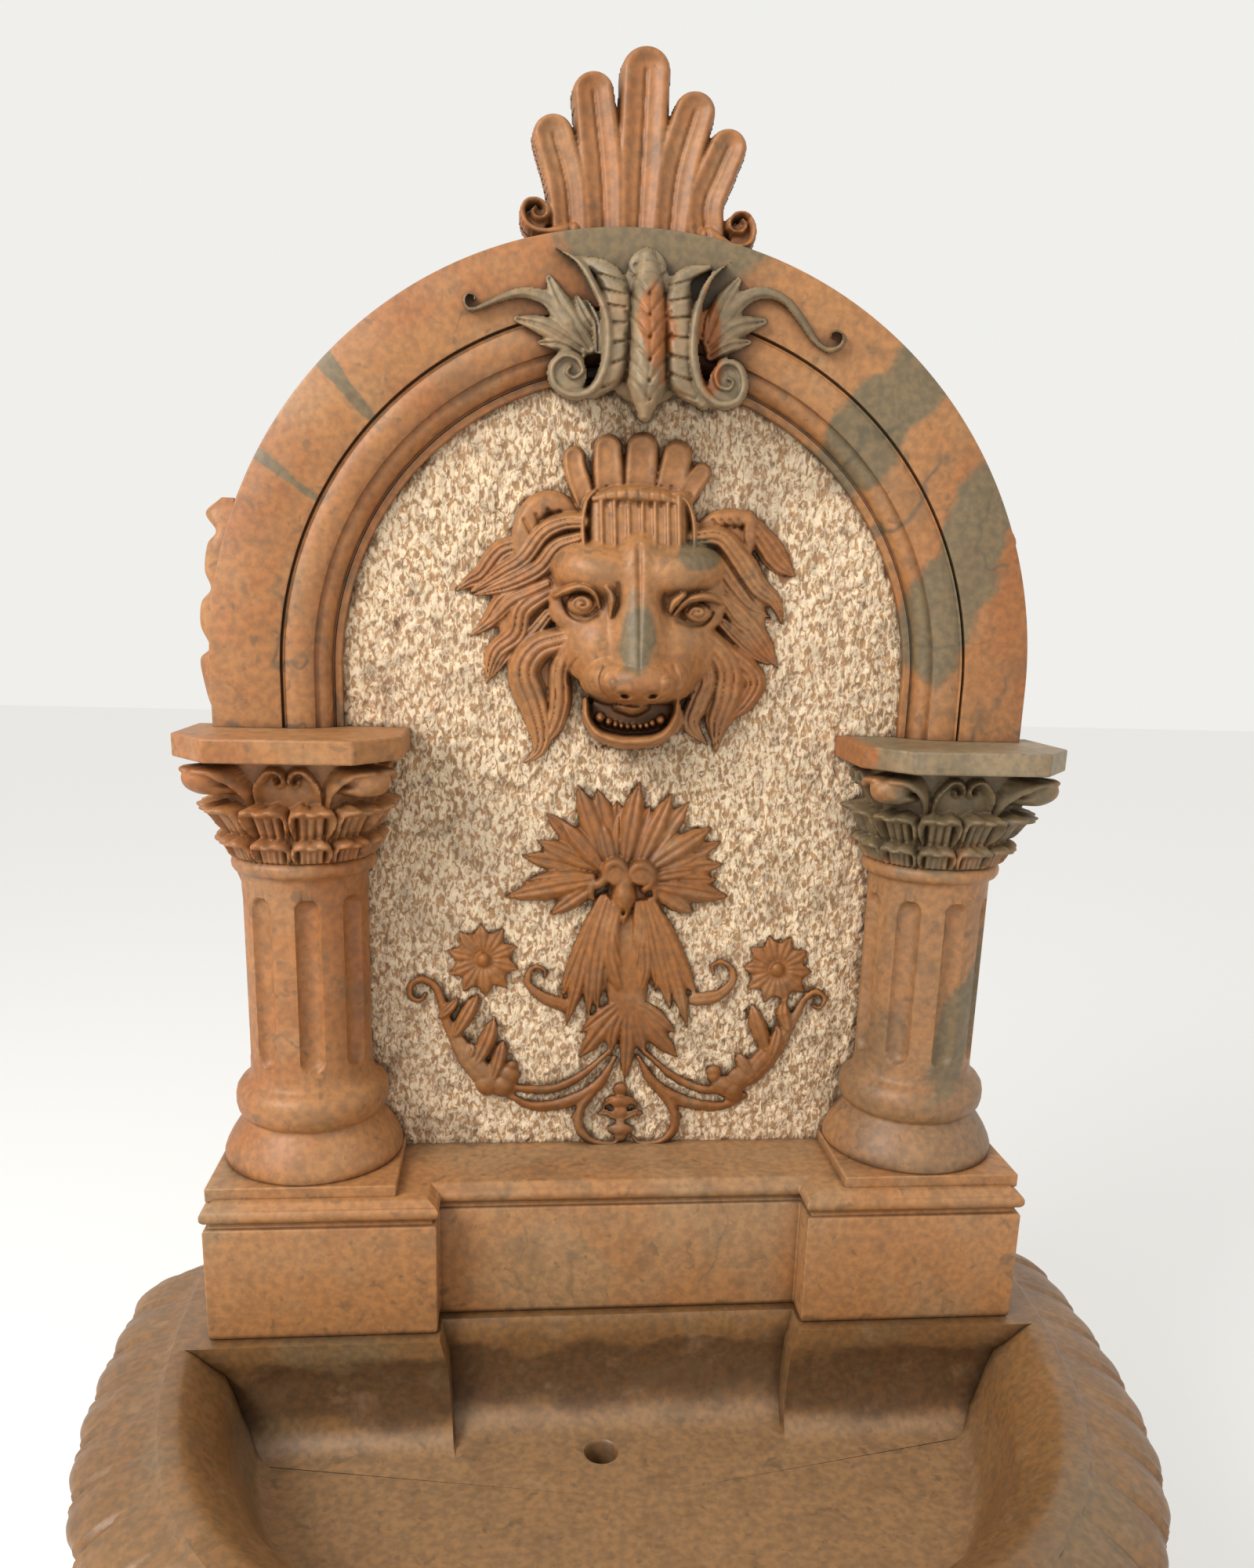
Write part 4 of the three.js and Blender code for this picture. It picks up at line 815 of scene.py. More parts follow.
def lion_eyes(c):
    for lid in ([(-365, -122), (-318, -100), (-250, -82), (-195, -112), (-172, -172)],
                [(352, -150), (315, -132), (262, -128), (200, -150), (150, -205)]):
        c.band(lid, [34, 56, 62, 54, 36], [52, 63, 68, 68, 58], soft=3)
    c.hollow(-250, -158, 82, 58, 17)
    c.hollow(246, -196, 78, 52, 16)
    c.dome(-246, -155, 68, 52, 60, base=40)
    c.dome(250, -194, 62, 46, 60, base=40)
    # spiral irises, then the lower lids
    c.groove([(-296, -140), (-262, -112), (-212, -122), (-196, -160), (-226, -190), (-270, -178),
              (-276, -150), (-246, -136), (-230, -158), (-250, -164)], [5.5], [3.4], steps=80)
    c.groove([(208, -188), (232, -162), (276, -168), (290, -198), (262, -220), (232, -208), (240, -186),
              (264, -190)], [5.5], [3.4], steps=70)
    c.groove([(-330, -135), (-298, -205), (-235, -228), (-180, -205)], [8], [3.4])
    c.groove([(170, -232), (222, -252), (286, -238), (318, -195)], [8], [3.4])
    # drops at the inner corners
    c.band([(-142, -84), (-118, -128), (-124, -215)], [46, 60, 22], [70, 72, 62], soft=1.5)
    c.band([(190, -118), (152, -152), (134, -188)], [50, 62, 36], [71, 73, 66], soft=1.5)
    c.groove([(-92, -70), (-84, -150), (-112, -250)], [8], [3.2])
    c.groove([(112, -120), (108, -190), (150, -265)], [8], [3.2])


def lion_muzzle(c):
    for s in (-1, 1):
        c.dome(-8 + s * 150, -340, 165, 180, 60, base=8, soft=14)
        c.dome(-8 + s * 112, -482, 142, 122, 80, base=8, soft=10, turn=s * 8)
        c.groove(sided([(262, -395), (292, -440), (300, -500)], s, -8), [7], [3])
    c.band([(0, 60), (0, -100), (0, -280), (0, -430)], [240, 290, 350, 350], [69, 75, 82, 88], power=1.8,
           soft=12)
    c.dome(0, -498, 156, 96, 96, base=58, power=2.8, soft=3)
    for s in (-1, 1):
        c.groove(sided([(150, -430), (168, -490), (140, -552), (92, -572)], s), [10], [5])
    for s, a in ((-1, -108), (1, 112)):
        c.dome(a, -500, 52, 58, 90, base=56, soft=3)
        c.hollow(-2 + s * 60, -556, 27, 12, 15, turn=s * 12)
        for da, db in ((100, 0), (106, 72), (70, 84), (125, 40)):
            c.hollow(a + s * da, -500 - db, 5, 5, 3)
    c.groove([(0, 95), (2, -40), (4, -200), (2, -460)], [16, 13, 9, 6], [6, 4.5, 2.4, 1.4])
    c.groove([(-235, -560), (-170, -590), (-60, -588), (0, -578), (60, -588), (150, -596), (212, -566)], [7],
             [4])


def lion_mouth(c):
    """Throat, lower jaw, palate, teeth and the beard's fringe."""
    c.dome(-18, -650, 205, 90, 30, base=22, power=4)
    jaw = [(-232, -575), (-228, -650), (-178, -722), (-90, -752), (-30, -756), (60, -748), (122, -712),
           (160, -640), (165, -575)]
    c.band(jaw, [34, 44, 62, 70, 72, 70, 60, 44, 34], [50, 58, 64, 66, 66, 66, 62, 56, 50], steps=60)
    line = [(-214, -600), (-206, -668), (-160, -710), (-80, -728), (-25, -732), (50, -726), (104, -694),
            (136, -640), (142, -595)]
    c.groove(line, [5], [3], steps=60)
    c.band([(-92, -600), (-20, -612), (22, -600)], [70, 84, 66], [46, 54, 46], strands=3, depth=2.5)
    for a, b, r in ((-170, -652, 22), (-134, -670, 17), (-104, -682, 14), (-78, -688, 12), (-50, -692, 12),
                    (-22, -692, 12), (6, -690, 12), (32, -686, 13), (58, -676, 15), (92, -662, 21)):
        c.dome(a, b, r, r * 1.15, 60, base=30)
    for k in range(11):
        c.band([(-190 + k * 27, -775), (-186 + k * 27, -812)], [17, 7], [7, 3])


def build_lion():
    c = Carving(-810, 700, -860, 610, 4.1)
    for points, width in (([(-300, 120), (-430, 20), (-510, -120), (-500, -260), (-420, -360)], 250),
                          ([(-330, -330), (-430, -430), (-420, -590)], 150),
                          ([(300, 110), (400, 20), (440, -140), (430, -300), (380, -450), (340, -560)], 230)):
        c.band(points, [width * 0.8, width, width, width * 0.7], [13, 13, 12, 8], power=4)
    locks(c, LOCKS_BEHIND)
    lion_ears(c)
    locks(c, LOCKS_IN_FRONT)
    lion_crown(c)
    for a, b, ra, rb, top in ((-8, -15, 375, 135, 68), (-10, -150, 385, 185, 54), (-5, -330, 330, 220, 56),
                              (-8, -450, 262, 150, 62)):
        c.dome(a, b, ra, rb, top, base=22, power=2.6, soft=8)
    c.dome(-165, -15, 225, 140, 71, base=12, soft=12, turn=-10)
    c.dome(162, -22, 215, 140, 71, base=12, soft=12, turn=10)
    lion_eyes(c)
    lion_muzzle(c)
    lion_mouth(c)
    c.soften(1)
    c.h = np.minimum(c.h, PANEL_Y - PANEL_LO[1] - 0.5)
    mesh = c.seen_mesh(LION_U, LION_V, LION_PIXEL, PANEL_Y, above=1.0, foot=-1.0)
    return piece("lion_mask", *mesh, "back_panel", smooth=70, closed=False)


# Relief: z up and x right from its middle, in drawing units
RELIEF_U, RELIEF_V = 799.6, 1226.3
RELIEF_PIXEL = 1 / 2.7034
# tip, root and width of the fan's leaves
FAN_BEHIND = (
    (-290, 525, -90, 330, 84), (-318, 420, -90, 320, 84), (-378, 368, -95, 310, 84),
              (-105, 608, -40, 350, 96),
    (-35, 570, -10, 350, 80), (222, 560, 60, 350, 88), (335, 415, 90, 320, 84), (342, 338, 95, 300, 84))
FAN_IN_FRONT = (
    (-268, 160, -115, 262, 76), (-425, 222, -120, 278, 88), (-360, 275, -118, 290, 76),
                (-225, 485, -85, 325, 84),
    (-172, 618, -70, 330, 96), (-90, 490, -50, 330, 80), (-22, 520, -25, 340, 66), (45, 625, -5, 345, 96),
    (82, 545, 20, 345, 70), (158, 585, 45, 340, 92), (168, 470, 60, 330, 74), (296, 465, 80, 325, 96),
    (256, 372, 90, 310, 74), (255, 318, 95, 290, 70), (322, 282, 100, 275, 78), (358, 222, 105, 262, 86),
    (236, 164, 100, 250, 80))
BRANCH_LEAVES = (
    ([(-590, -250), (-545, -170), (-510, -105)], 66), ([(-640, -190), (-600, -150), (-582, -118)], 50),
    ([(-520, -350), (-480, -270), (-455, -182)], 74), ([(-460, -400), (-440, -330), (-426, -262)], 64),
    ([(-545, -330), (-535, -300), (-548, -278)], 44), ([(480, -300), (450, -210), (428, -138)], 72),
    ([(430, -390), (395, -340), (378, -308)], 60), ([(555, -230), (540, -180), (545, -125)], 60),
    ([(500, -330), (520, -250), (512, -212)], 60))
SKIRT = (
    ([(-20, -140), (-100, -200), (-162, -248)], 66), ([(-18, -150), (-92, -240), (-172, -340)], 82),
    ([(-10, -160), (-46, -240), (-56, -326)], 62), ([(20, -140), (90, -180), (176, -252)], 66),
    ([(20, -150), (90, -240), (184, -338)], 82), ([(12, -160), (40, -240), (60, -326)], 66),
    ([(2, -160), (4, -280), (-8, -420)], 66))
HANGING_LEAVES = (
    ([(-75, 220), (-130, 70), (-170, -80), (-214, -240)], 76),
                  ([(-85, 220), (-145, 70), (-205, -70), (-228, -142)], 70),
    ([(-65, 210), (-110, 40), (-128, -100), (-132, -205)], 74),
                  ([(-55, 200), (-90, 20), (-104, -110), (-98, -188)], 66),
    ([(-50, 200), (-75, 40), (-78, -60), (-86, -118)], 66),
                  ([(-40, 190), (-60, 40), (-35, -70), (8, -142)], 74),
    ([(-35, 190), (-55, 80), (-30, -10), (0, -60)], 66), ([(-30, 190), (-45, 120), (-34, 60), (-14, 24)], 58),
    ([(75, 200), (125, 80), (172, -70), (210, -240)], 76),
                  ([(85, 210), (145, 80), (205, -50), (250, -142)], 74),
    ([(65, 200), (100, 60), (130, -70), (152, -182)], 74),
                  ([(55, 200), (78, 60), (100, -40), (98, -118)], 66),
    ([(50, 200), (62, 70), (66, -30), (40, -132)], 68), ([(40, 200), (52, 100), (42, 0), (28, -64)], 62),
    ([(35, 200), (42, 120), (28, 60), (14, 30)], 56))


def strand(c, points, width, rise, low=0.5):
    """A pointed leaf with a middle groove, lower at its tip."""
    c.band(points, [width * 0.55, width * 0.95, width, width * 0.75, 6],
           [rise * 0.9, rise, rise, rise * 0.85, rise * low], groove=3.2, power=2, steps=16)


def relief_branches(c):
    for s in (-1, 1):
        c.band(sided([(60, -310), (160, -395), (265, -440), (390, -436)], s), [26, 38, 40, 36],
               [9, 11, 11, 9], strands=2, depth=1)
        c.band(sided([(40, -330), (100, -425), (200, -482), (320, -498), (405, -462)], s),
               [26, 52, 54, 44, 34], [9, 12, 12, 11, 9], strands=2, depth=1.2)
        c.band(sided([(50, -350), (110, -440), (158, -505), (164, -570), (122, -620), (50, -630), (20, -605)],
                     s),
               [20, 34, 40, 42, 42, 36, 22], [9, 11, 12, 13, 13, 12, 9], strands=2, depth=1.2)
        strand(c, sided([(150, -500), (175, -530), (204, -540)], s), 38, 9)
    for hook in ([(-215, -150), (-285, -125), (-338, -80), (-336, -38), (-312, -18), (-283, -30),
                  (-284, -54)],
                 [(235, -130), (310, -120), (362, -75), (364, -30), (332, -2), (296, -14), (300, -46)]):
        c.band(hook, [58, 54, 46, 38, 30, 24, 18], [12, 13, 12, 11, 11, 11, 11], groove=1, steps=44)
    c.band([(-400, -445), (-480, -400), (-560, -310), (-615, -215), (-640, -130), (-662, -85), (-706, -62),
            (-744, -82), (-744, -122), (-712, -134), (-694, -112)],
           [44, 84, 92, 84, 60, 46, 40, 36, 34, 30, 22], [11, 15, 16, 15, 13] + 6 * [12], strands=3,
           depth=1.4, steps=90)
    c.band([(375, -435), (440, -375), (520, -280), (580, -190), (615, -130), (655, -105), (684, -130),
            (664, -160), (640, -150)], [44, 84, 92, 76, 50, 40, 34, 28, 20],
           [11, 15, 16, 14, 12, 12, 12, 12, 12], strands=3, depth=1.4, steps=80)
    for points, w in BRANCH_LEAVES:
        strand(c, points, w, 19, 0.45)
    for a, b, r in ((-405, -390, 42), (-480, -425, 46), (-430, -430, 44), (-395, -360, 26), (300, -380, 30),
                    (335, -430, 44), (385, -400, 44), (362, -450, 38), (300, -400, 26)):
        c.dome(a, b, r, r * 0.9, 17, base=5, soft=1)


def relief_flowers(c):
    for fx, fz, reach, turn in ((-495, 5, 128, 4), (520, -28, 122, 14)):
        for i in range(10):
            angle = math.radians(90 + turn + 36 * i)
            d = np.array([math.cos(angle), math.sin(angle)])
            c.band([d * 16 + (fx, fz), d * reach * 0.6 + (fx, fz), d * reach + (fx, fz)], [16, 54, 66, 14],
                   [9, 13, 12, 7], groove=2.4, power=2.2)
        c.dome(fx, fz, 26, 26, 18, base=8)


def relief_bow(c):
    c.band([(-120, 262), (-92, 268), (-72, 290), (-66, 325), (-36, 340), (-10, 322), (4, 288)],
           [44, 44, 46, 52, 54, 50, 40], [18, 21, 23, 26, 27, 26, 23], steps=40)
    c.band([(10, 296), (34, 326), (66, 328), (90, 300), (84, 268), (62, 250)], [44, 52, 54, 52, 46, 36],
           [23, 26, 27, 26, 23, 20], steps=36)
    for tail in ([(88, 262), (98, 240), (100, 220)], [(-118, 262), (-124, 240), (-118, 218)]):
        c.band(tail, [34, 36, 26], [19, 18, 15])
    c.band([(-6, 272), (-10, 220), (-12, 150), (-14, 122)], [76, 96, 60, 16], [24, 27, 22, 12], soft=1)
    for a in (-36, 50):
        c.dome(a, 294, 36, 34, 24, base=22)
    c.hollow(-12, 168, 8, 12, 10)


def relief_spindle(c):
    middle = -22
    for z, w, h in ((-440, 60, 12), (-485, 92, 14), (-520, 66, 13), (-555, 40, 11), (-578, 100, 15),
                    (-602, 56, 11)):
        c.dome(middle, z, w / 2, 26, h, base=4, soft=1)
    for s in (-1, 1):
        for leaf in ([(10, -545), (50, -520), (92, -528)], [(8, -470), (40, -480), (62, -508)]):
            strand(c, sided(leaf, s, middle), 34, 12)


def build_relief():
    """Leaf fan, bow, hanging leaves and scrolled branches."""
    c = Carving(-780, 720, -660, 650, 4.0)
    relief_branches(c)
    relief_flowers(c)
    for rows, rise in ((FAN_BEHIND, 10), (FAN_IN_FRONT, 17)):
        for k, (a, b, ra, rb, w) in enumerate(rows):
            strand(c, [(ra, rb), ((ra + a) / 2, (rb + b) / 2), (a, b)], w, rise + 3 * (k % 2))
    c.band([(0, 230), (0, 60), (0, -170)], [150, 200, 130], [9, 14, 12], power=4)
    for points, w in SKIRT:
        strand(c, points, w, 14)
    for points, w in HANGING_LEAVES:
        strand(c, points, w, 22 - 0.02 * abs(points[-1][0]), 0.45)
    relief_bow(c)
    relief_spindle(c)
    c.soften(1)
    mesh = c.seen_mesh(RELIEF_U, RELIEF_V, RELIEF_PIXEL, PANEL_Y, above=1.5, foot=-1.0)
    return piece("leaf_relief", *mesh, "back_panel", smooth=70, closed=False)


WORN_SHARE = 0.5  # reach that the right side scroll has kept
SCROLL_ROOT = 6  # how far it is let into the arch's outline
SCROLL_BACK = 73  # its middle behind the arch face


def build_side_scroll(side, name):
    """Leaf scroll on the edge of the back panel: height over the abacus, reach, half thickness."""
    face = ARCH_R - SCROLL_ROOT
    keys = [(-175, 3, 2), (-140, 14, 8), (-100, 12, 11), (-60, 10, 13), (0, 14, 13), (15, 25, 13),
            (40, 31, 13), (62, 33, 13), (74, 23, 13), (95, 31, 13), (118, 29, 13), (132, 19, 13),
            (150, 24, 13), (175, 20, 13), (188, 11, 12), (205, 20, 9), (220, 4, 3)]
    rings = []
    mid = FACE_Y + SCROLL_BACK
    turn = np.linspace(-math.pi / 2, math.pi / 2, 15)
    share = 1.0 if side < 0 else WORN_SHARE
    for z, out, half in smooth_rows(keys, 8):
        x = face + np.cos(turn) ** 0.7 * (share * (out - 3) + 1.6 * np.cos(turn * 6))
        ring = [(face - 10, mid + half), (face - 10, mid - half), *zip(x, mid + np.sin(turn) * half)]
        rings.append([(side * a, b, ABACUS_TOP + z) for a, b in ring])
    return piece(name, *loft(rings), "back_panel", smooth=60)


# Stone
class Stone:
    """A procedural stone, mixed layer by layer over a base colour."""

    def __init__(self, name, base, rough=0.5):
        self.mat = bpy.data.materials.new(name)
        self.mat.use_nodes = True
        self.nodes, self.links = self.mat.node_tree.nodes, self.mat.node_tree.links
        self.shader = self.nodes["Principled BSDF"]
        self.shader.inputs["Roughness"].default_value = rough
        self.where = self.nodes.new("ShaderNodeTexCoord")
        self.colour = base

    def noise(self, scale, detail=4.0, distortion=0.0, turn=0, stretch=1.0):
        """Noise over the stone, stretched along z after a turn about y."""
        node = self.nodes.new("ShaderNodeTexNoise")
        node.inputs["Scale"].default_value = scale
        node.inputs["Detail"].default_value = detail
        node.inputs["Distortion"].default_value = distortion
        mapping = self.nodes.new("ShaderNodeMapping")
        mapping.inputs["Rotation"].default_value = (0, math.radians(turn), 0)
        mapping.inputs["Scale"].default_value = (1, 1, stretch)
        self.links.new(self.where.outputs["Object"], mapping.inputs["Vector"])
        self.links.new(mapping.outputs["Vector"], node.inputs["Vector"])
        return node.outputs["Fac"]

    def ramp(self, value, low, high, dark=0.0, light=1.0):
        """Smooth step of a value from dark at low to light at high."""
        node = self.nodes.new("ShaderNodeMapRange")
        node.interpolation_type = "SMOOTHSTEP"
        for key, number in (("From Min", low), ("From Max", high), ("To Min", dark), ("To Max", light)):
            node.inputs[key].default_value = number
        self.links.new(value, node.inputs["Value"])
        return node.outputs["Result"]

    def maths(self, kind, *values):
        node = self.nodes.new("ShaderNodeMath")
        node.operation = kind
        for socket, value in zip(node.inputs, values):
            if isinstance(value, (int, float)):
                socket.default_value = value
            else:
                self.links.new(value, socket)
        return node.outputs["Value"]

    def patches(self, spots, ragged=0.5):
        """Share of soft ovals: x, z, half width, half height in mm, turn in degrees."""
        total = None
        for x, z, half_w, half_h, turn in spots:
            mapping = self.nodes.new("ShaderNodeMapping")
            mapping.vector_type = "TEXTURE"
            mapping.inputs["Location"].default_value = (x * MM, 0, z * MM)
            mapping.inputs["Rotation"].default_value = (0, math.radians(turn), 0)
            mapping.inputs["Scale"].default_value = (half_w * MM, 50, half_h * MM)
            self.links.new(self.where.outputs["Object"], mapping.inputs["Vector"])
            oval = self.nodes.new("ShaderNodeTexGradient")
            oval.gradient_type = "SPHERICAL"
            self.links.new(mapping.outputs["Vector"], oval.inputs["Vector"])
            share = oval.outputs["Fac"]
            total = share if total is None else self.maths("MAXIMUM", total, share)
        fray = self.ramp(self.noise(9, 6, 1.0), 0.25, 0.75, -ragged / 2, ragged / 2)
        return self.ramp(self.maths("ADD", total, fray), 0.26, 0.46)

    def layer(self, share, colour, kind="MIX"):
        """Mixes a colour over what is there by a share that varies over the stone."""
        node = self.nodes.new("ShaderNodeMix")
        node.data_type = "RGBA"
        node.blend_type = kind
        self.links.new(share, node.inputs[0])
        if isinstance(self.colour, tuple):
            node.inputs[6].default_value = (*self.colour, 1)
        else:
            self.links.new(self.colour, node.inputs[6])
        node.inputs[7].default_value = (*colour, 1)
        self.colour = node.outputs[2]

    def cloud(self, colour, scale, detail, low, high, most=1.0, distortion=0.0, kind="MIX"):
        """Lays a colour on in clouds of noise, by a share of at most so much."""
        self.layer(self.ramp(self.noise(scale, detail, distortion), low, high, 0.0, most), colour, kind)

    def bump(self, height, strength, distance):
        node = self.nodes.new("ShaderNodeBump")
        node.inputs["Strength"].default_value = strength
        node.inputs["Distance"].default_value = distance
        self.links.new(height, node.inputs["Height"])
        self.links.new(node.outputs["Normal"], self.shader.inputs["Normal"])

    def finish(self, recess_shade=0.35, reach=0.018):
        """Speckle, and painted shade in the recesses, where ambient occlusion darkens the colour."""
        self.cloud(SPECKLE, 130, 4, 0.3, 0.7, 0.6, kind="SOFT_LIGHT")
        self.cloud(SPECK, 60, 4, 0.6, 0.7, 0.5, 0.5)
        self.cloud(SOIL, 24, 6, 0.5, 0.7, 0.35, 0.4)
        # Painted shade: the colour is darkened by ambient occlusion in recesses and between pieces
        recess = self.nodes.new("ShaderNodeAmbientOcclusion")
        recess.inputs["Distance"].default_value = reach
        recess.samples = 8
        self.layer(self.ramp(recess.outputs["AO"], 0.3, 0.85, 1 - recess_shade, 0.0), RECESS_SHADE_COLOUR, "MULTIPLY")
        self.links.new(self.colour, self.shader.inputs["Base Color"])
        return self.mat


ORANGE = (0.325, 0.15, 0.056)
RUST = (0.265, 0.1, 0.03)
TAN = (0.3, 0.175, 0.085)
GREY = (0.225, 0.172, 0.104)
GREEN = (0.145, 0.108, 0.058)
PINK = (0.2, 0.115, 0.058)
BROWN = (0.16, 0.082, 0.031)
# Colour of the painted shade band on the bowl's back wall
UNDERCUT_SHADE = (0.08, 0.042, 0.018)
VEIN = (0.09, 0.075, 0.045)
SPECKLE = (1.0, 0.85, 0.7)
SPECK = (0.13, 0.085, 0.045)
SOIL = (0.15, 0.09, 0.045)
# Colour of the painted shade in recesses, laid on by ambient occlusion
RECESS_SHADE_COLOUR = (0.12, 0.075, 0.04)
PICKED_PINK = (0.34, 0.2, 0.108)
FLECK = (0.76, 0.6, 0.42)
PIT = (0.16, 0.1, 0.05)
PANEL_STAIN = (0.25, 0.12, 0.055)
LIGHT_BROWN = (0.19, 0.1, 0.038)
SILT = (0.26, 0.155, 0.078)
LIME = (0.3, 0.2, 0.12)
PALMETTE_RED = (0.29, 0.122, 0.042)
RELIEF_RED, RELIEF_DARK = (0.25, 0.098, 0.025), (0.2, 0.075, 0.018)


def marble(name, base=ORANGE, cloud=RUST, grey_spots=(), rust_spots=(), veins=0.0, recess_shade=0.35):
    """Clouded marble, with ragged grey or rusty spots, sparse thin veins and painted shade in its recesses.
    """
    s = Stone(name, base)
    s.cloud(cloud, 6, 5, 0.4, 0.65, distortion=0.5)
    s.cloud(TAN, 14, 5, 0.5, 0.72, 0.5, 0.3)
    if grey_spots:
        s.layer(s.patches(grey_spots), GREEN)
    if rust_spots:
        s.layer(s.patches(rust_spots), RUST)
    if veins:
        line = s.maths("ABSOLUTE", s.maths("SUBTRACT", s.noise(2.3, 4, 1.4), 0.5))
        where = s.maths("MULTIPLY", s.ramp(line, 0.0, 0.012, veins, 0.0), s.ramp(s.noise(5, 2), 0.5, 0.6))
        s.layer(where, VEIN)
    s.bump(s.noise(260, 4), 0.25, 0.0008)
    return s.finish(recess_shade=recess_shade)


def picked_stone():
    """Pink orange stone with pale flecks where the point struck."""
    s = Stone("picked_stone", PICKED_PINK, 0.85)
    s.cloud(TAN, 7, 4, 0.42, 0.62, distortion=0.4)
    flecks = s.noise(230, 2, 0.8, turn=35, stretch=0.5)
    s.layer(s.ramp(flecks, 0.38, 0.6), FLECK)
    s.cloud(PIT, 150, 3, 0.6, 0.7, 0.6, 1.0)
    s.layer(s.patches([(95, 1420, 16, 34, 12), (158, 1405, 13, 26, 0)], 0.2), PANEL_STAIN)
    s.bump(flecks, 0.8, 0.003)
    return s.finish(recess_shade=0.25, reach=0.01)


def basin_marble():
    """Browner marble with silt stains on the bowl's floor and a painted shade band on its back wall."""
    s = Stone("basin_marble", BROWN, 0.42)
    s.cloud(LIGHT_BROWN, 5, 6, 0.4, 0.62, distortion=0.6)
    s.cloud(GREEN, 3.3, 5, 0.5, 0.66, 0.75, 0.8)
    place = s.nodes.new("ShaderNodeSeparateXYZ")
    s.links.new(s.where.outputs["Object"], place.inputs["Vector"])
    facing = s.nodes.new("ShaderNodeSeparateXYZ")
    s.links.new(s.where.outputs["Normal"], facing.inputs["Vector"])
    height = s.maths("ADD", place.outputs["Z"], s.ramp(s.noise(14, 5), 0.2, 0.8, -0.02, 0.02))
    silt = s.ramp(height, (RIM_Z - 112) * MM, (RIM_Z - 50) * MM, 0.85, 0.0)
    s.layer(s.maths("MULTIPLY", silt, s.ramp(facing.outputs["Z"], 0.3, 0.8)), SILT)
    # Painted shade: a dark band at mid height on the bowl's back wall, on faces turned to the front, where
    # the scooped wall is undercut
    band = s.maths("MULTIPLY", s.ramp(height, (RIM_Z - 40) * MM, (RIM_Z - 24) * MM, 0.9, 0.0),
                   s.ramp(height, (RIM_Z - 112) * MM, (RIM_Z - 86) * MM))
    band = s.maths("MULTIPLY", band, s.ramp(facing.outputs["Y"], -0.9, -0.5, 1.0, 0.0))
    behind = s.ramp(place.outputs["Y"], (BOWL_BACK - 60) * MM, (BOWL_BACK - 30) * MM)
    s.layer(s.maths("MULTIPLY", band, behind), UNDERCUT_SHADE)
    s.cloud(LIME, 30, 6, 0.55, 0.8, 0.3, 0.5)
    s.bump(s.noise(260, 4), 0.2, 0.0008)
    return s.finish(recess_shade=0.3, reach=0.03)


def paint():
    """Gives every piece its stone, by the start of its name."""
    arch_spots = [(20, 1690, 190, 90, 0), (250, 1560, 60, 250, 42), (330, 1400, 60, 200, 20),
                  (-290, 1570, 90, 12, 50), (-345, 1480, 80, 8, 35)]
    course = marble("course_marble", cloud=TAN, veins=0.3)
    basin = basin_marble()
    stones = {
        "pedestal": basin, "basin": basin, "base_course": course, "plinth": course,
        "column_left": marble("left_marble", veins=0.2, recess_shade=0.6),
              "abacus_left": marble("left_abacus_marble"),
        "column_right": marble("pink_marble", PINK, ORANGE,
                               [(330, 1180, 170, 110, 0), (370, 960, 40, 150, 20)], veins=0.9, recess_shade=0.55),
        "abacus_right": marble("grey_marble", GREY, GREEN, rust_spots=[(226, 1225, 22, 40, 0)], veins=0.7),
        "arch": marble("arch_marble", grey_spots=arch_spots, veins=0.7),
        "keystone": marble("keystone_marble", GREEN, GREY,
                           rust_spots=[(8, 1600, 28, 60, 0), (60, 1600, 18, 60, 0)], veins=0.3),
        "palmette": marble("palmette_marble", PALMETTE_RED, RUST, veins=0.2),
        "back_panel": marble("back_marble"), "side": marble("side_marble"), "picked": picked_stone(),
        "lion": marble("lion_marble", grey_spots=[(2, 1335, 34, 52, 0), (62, 1412, 34, 24, 0)], recess_shade=0.25),
        "leaf": marble("relief_marble", RELIEF_RED, RELIEF_DARK, recess_shade=0.25)}
    for obj in PIECES:
        start = next(key for key in stones if obj.name.startswith(key))
        obj.data.materials.clear()
        obj.data.materials.append(stones[start])


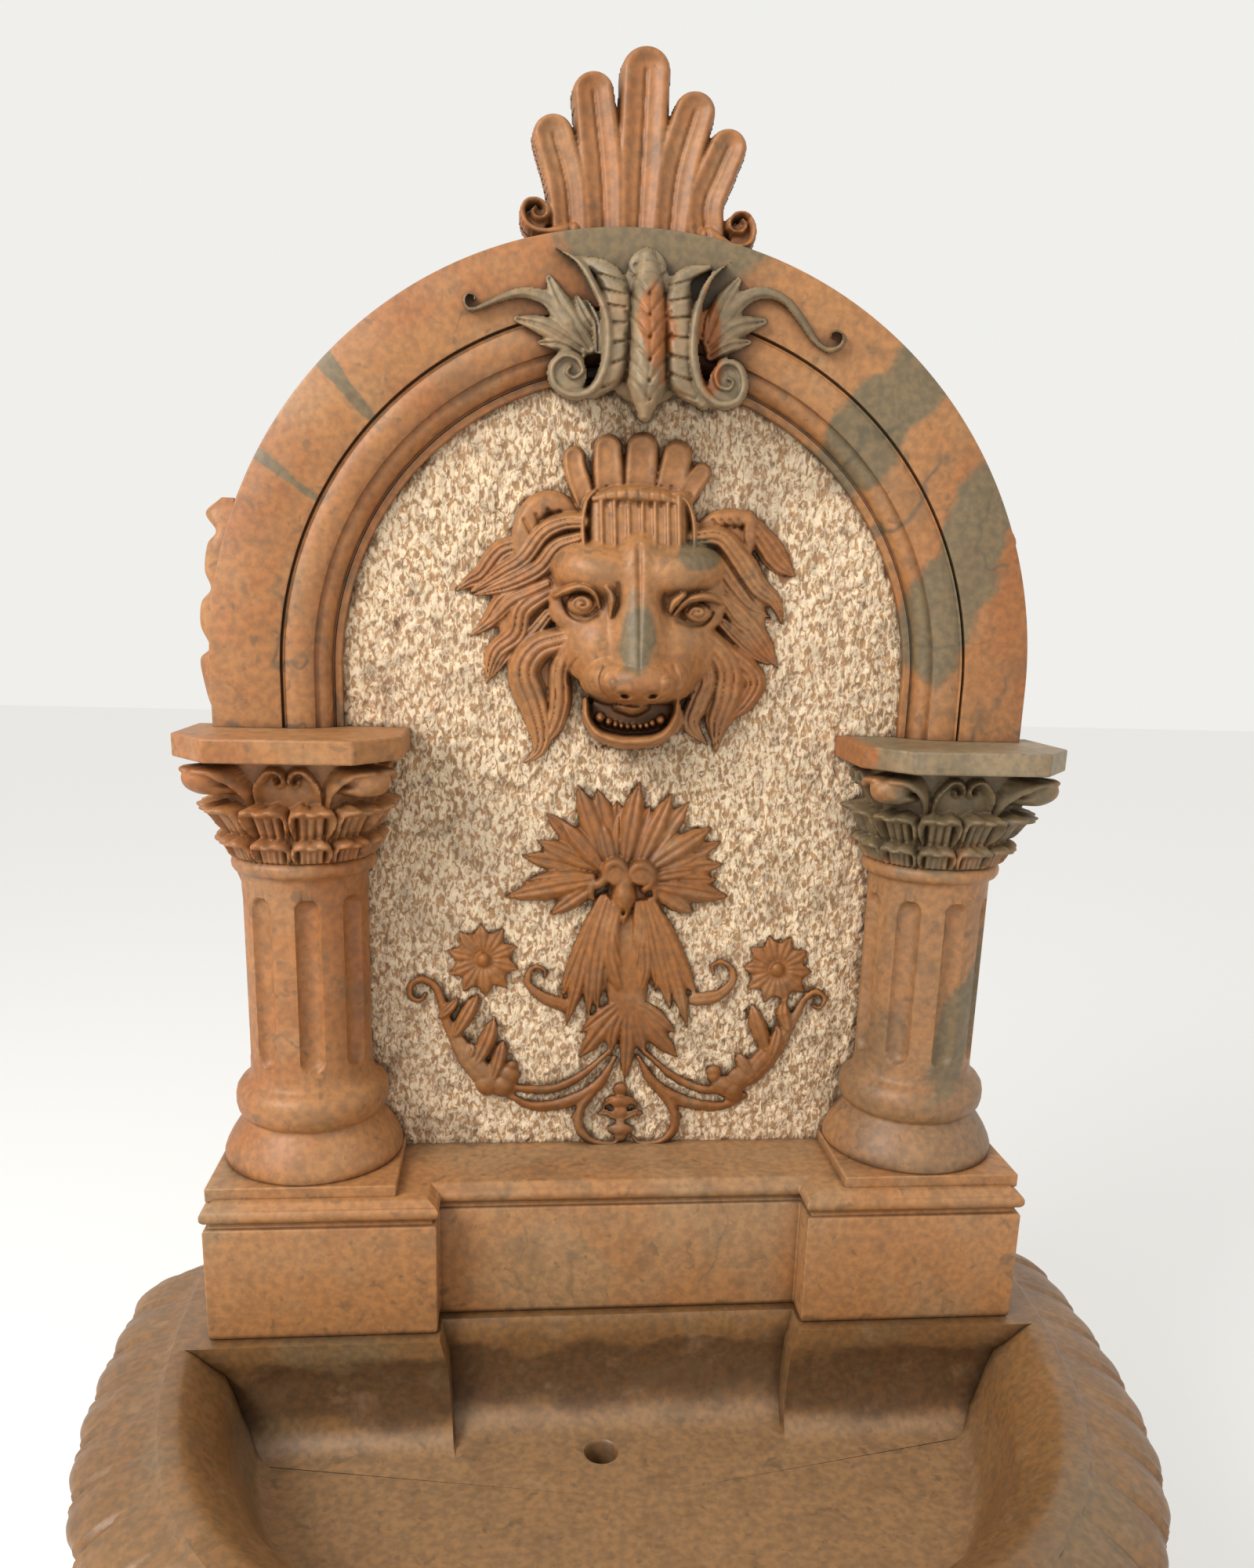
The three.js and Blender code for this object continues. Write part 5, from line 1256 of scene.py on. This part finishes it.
# Floor, light, camera
FLOOR_COLOUR = (0.93, 0.925, 0.91, 1)
SKY_COLOUR, SKY_STRENGTH = (1.0, 0.993, 0.967, 1), 0.87


def make_floor():
    bpy.ops.mesh.primitive_plane_add(size=30, location=(0, 0, 0))
    floor = bpy.context.object
    floor.name = "floor"
    pale = bpy.data.materials.new("pale_floor")
    pale.use_nodes = True
    shader = pale.node_tree.nodes["Principled BSDF"]
    shader.inputs["Base Color"].default_value = FLOOR_COLOUR
    shader.inputs["Roughness"].default_value = 0.9
    floor.data.materials.append(pale)


def make_world():
    world = bpy.data.worlds.new("studio")
    bpy.context.scene.world = world
    world.use_nodes = True
    background = world.node_tree.nodes["Background"]
    background.inputs["Color"].default_value = SKY_COLOUR
    background.inputs["Strength"].default_value = SKY_STRENGTH
    bpy.context.scene.view_settings.view_transform = "Standard"


def lamp(name, energy, size, place, target):
    data = bpy.data.lights.new(name, "AREA")
    data.energy = energy
    data.size = size
    obj = bpy.data.objects.new(name, data)
    bpy.context.scene.collection.objects.link(obj)
    obj.location = place
    obj.rotation_euler = (Vector(target) - Vector(place)).to_track_quat("-Z", "Y").to_euler()


def make_camera():
    data = bpy.data.cameras.new("camera")
    data.sensor_width = 36
    data.lens = FOCAL_PX * data.sensor_width / IMAGE_H
    data.shift_y = (AIM_V - IMAGE_H / 2) / IMAGE_H
    data.clip_start = 0.05
    camera = bpy.data.objects.new("camera", data)
    bpy.context.scene.collection.objects.link(camera)
    turn = Matrix([tuple(RIGHT), tuple(-DOWN), tuple(-AHEAD)]).transposed().to_4x4()
    camera.matrix_world = Matrix.Translation(Vector(CAMERA * MM)) @ turn
    bpy.context.scene.camera = camera


build_pedestal()
build_basin()
build_base_course()
capital = capital_carving()
for side in (-1, 1):
    build_column(side, capital)
    build_abacus(side)
build_arch()
build_keystone()
build_palmette()
build_panel()
build_picked_face()
build_lion()
build_relief()
build_side_scroll(-1, "side_scroll_left")
build_side_scroll(1, "side_scroll_right")
paint()
make_floor()
make_world()
lamp("key_light", energy=75, size=1.2, place=(-2.1, -1.5, 2.8), target=(0, 0.2, 1.1))
make_camera()
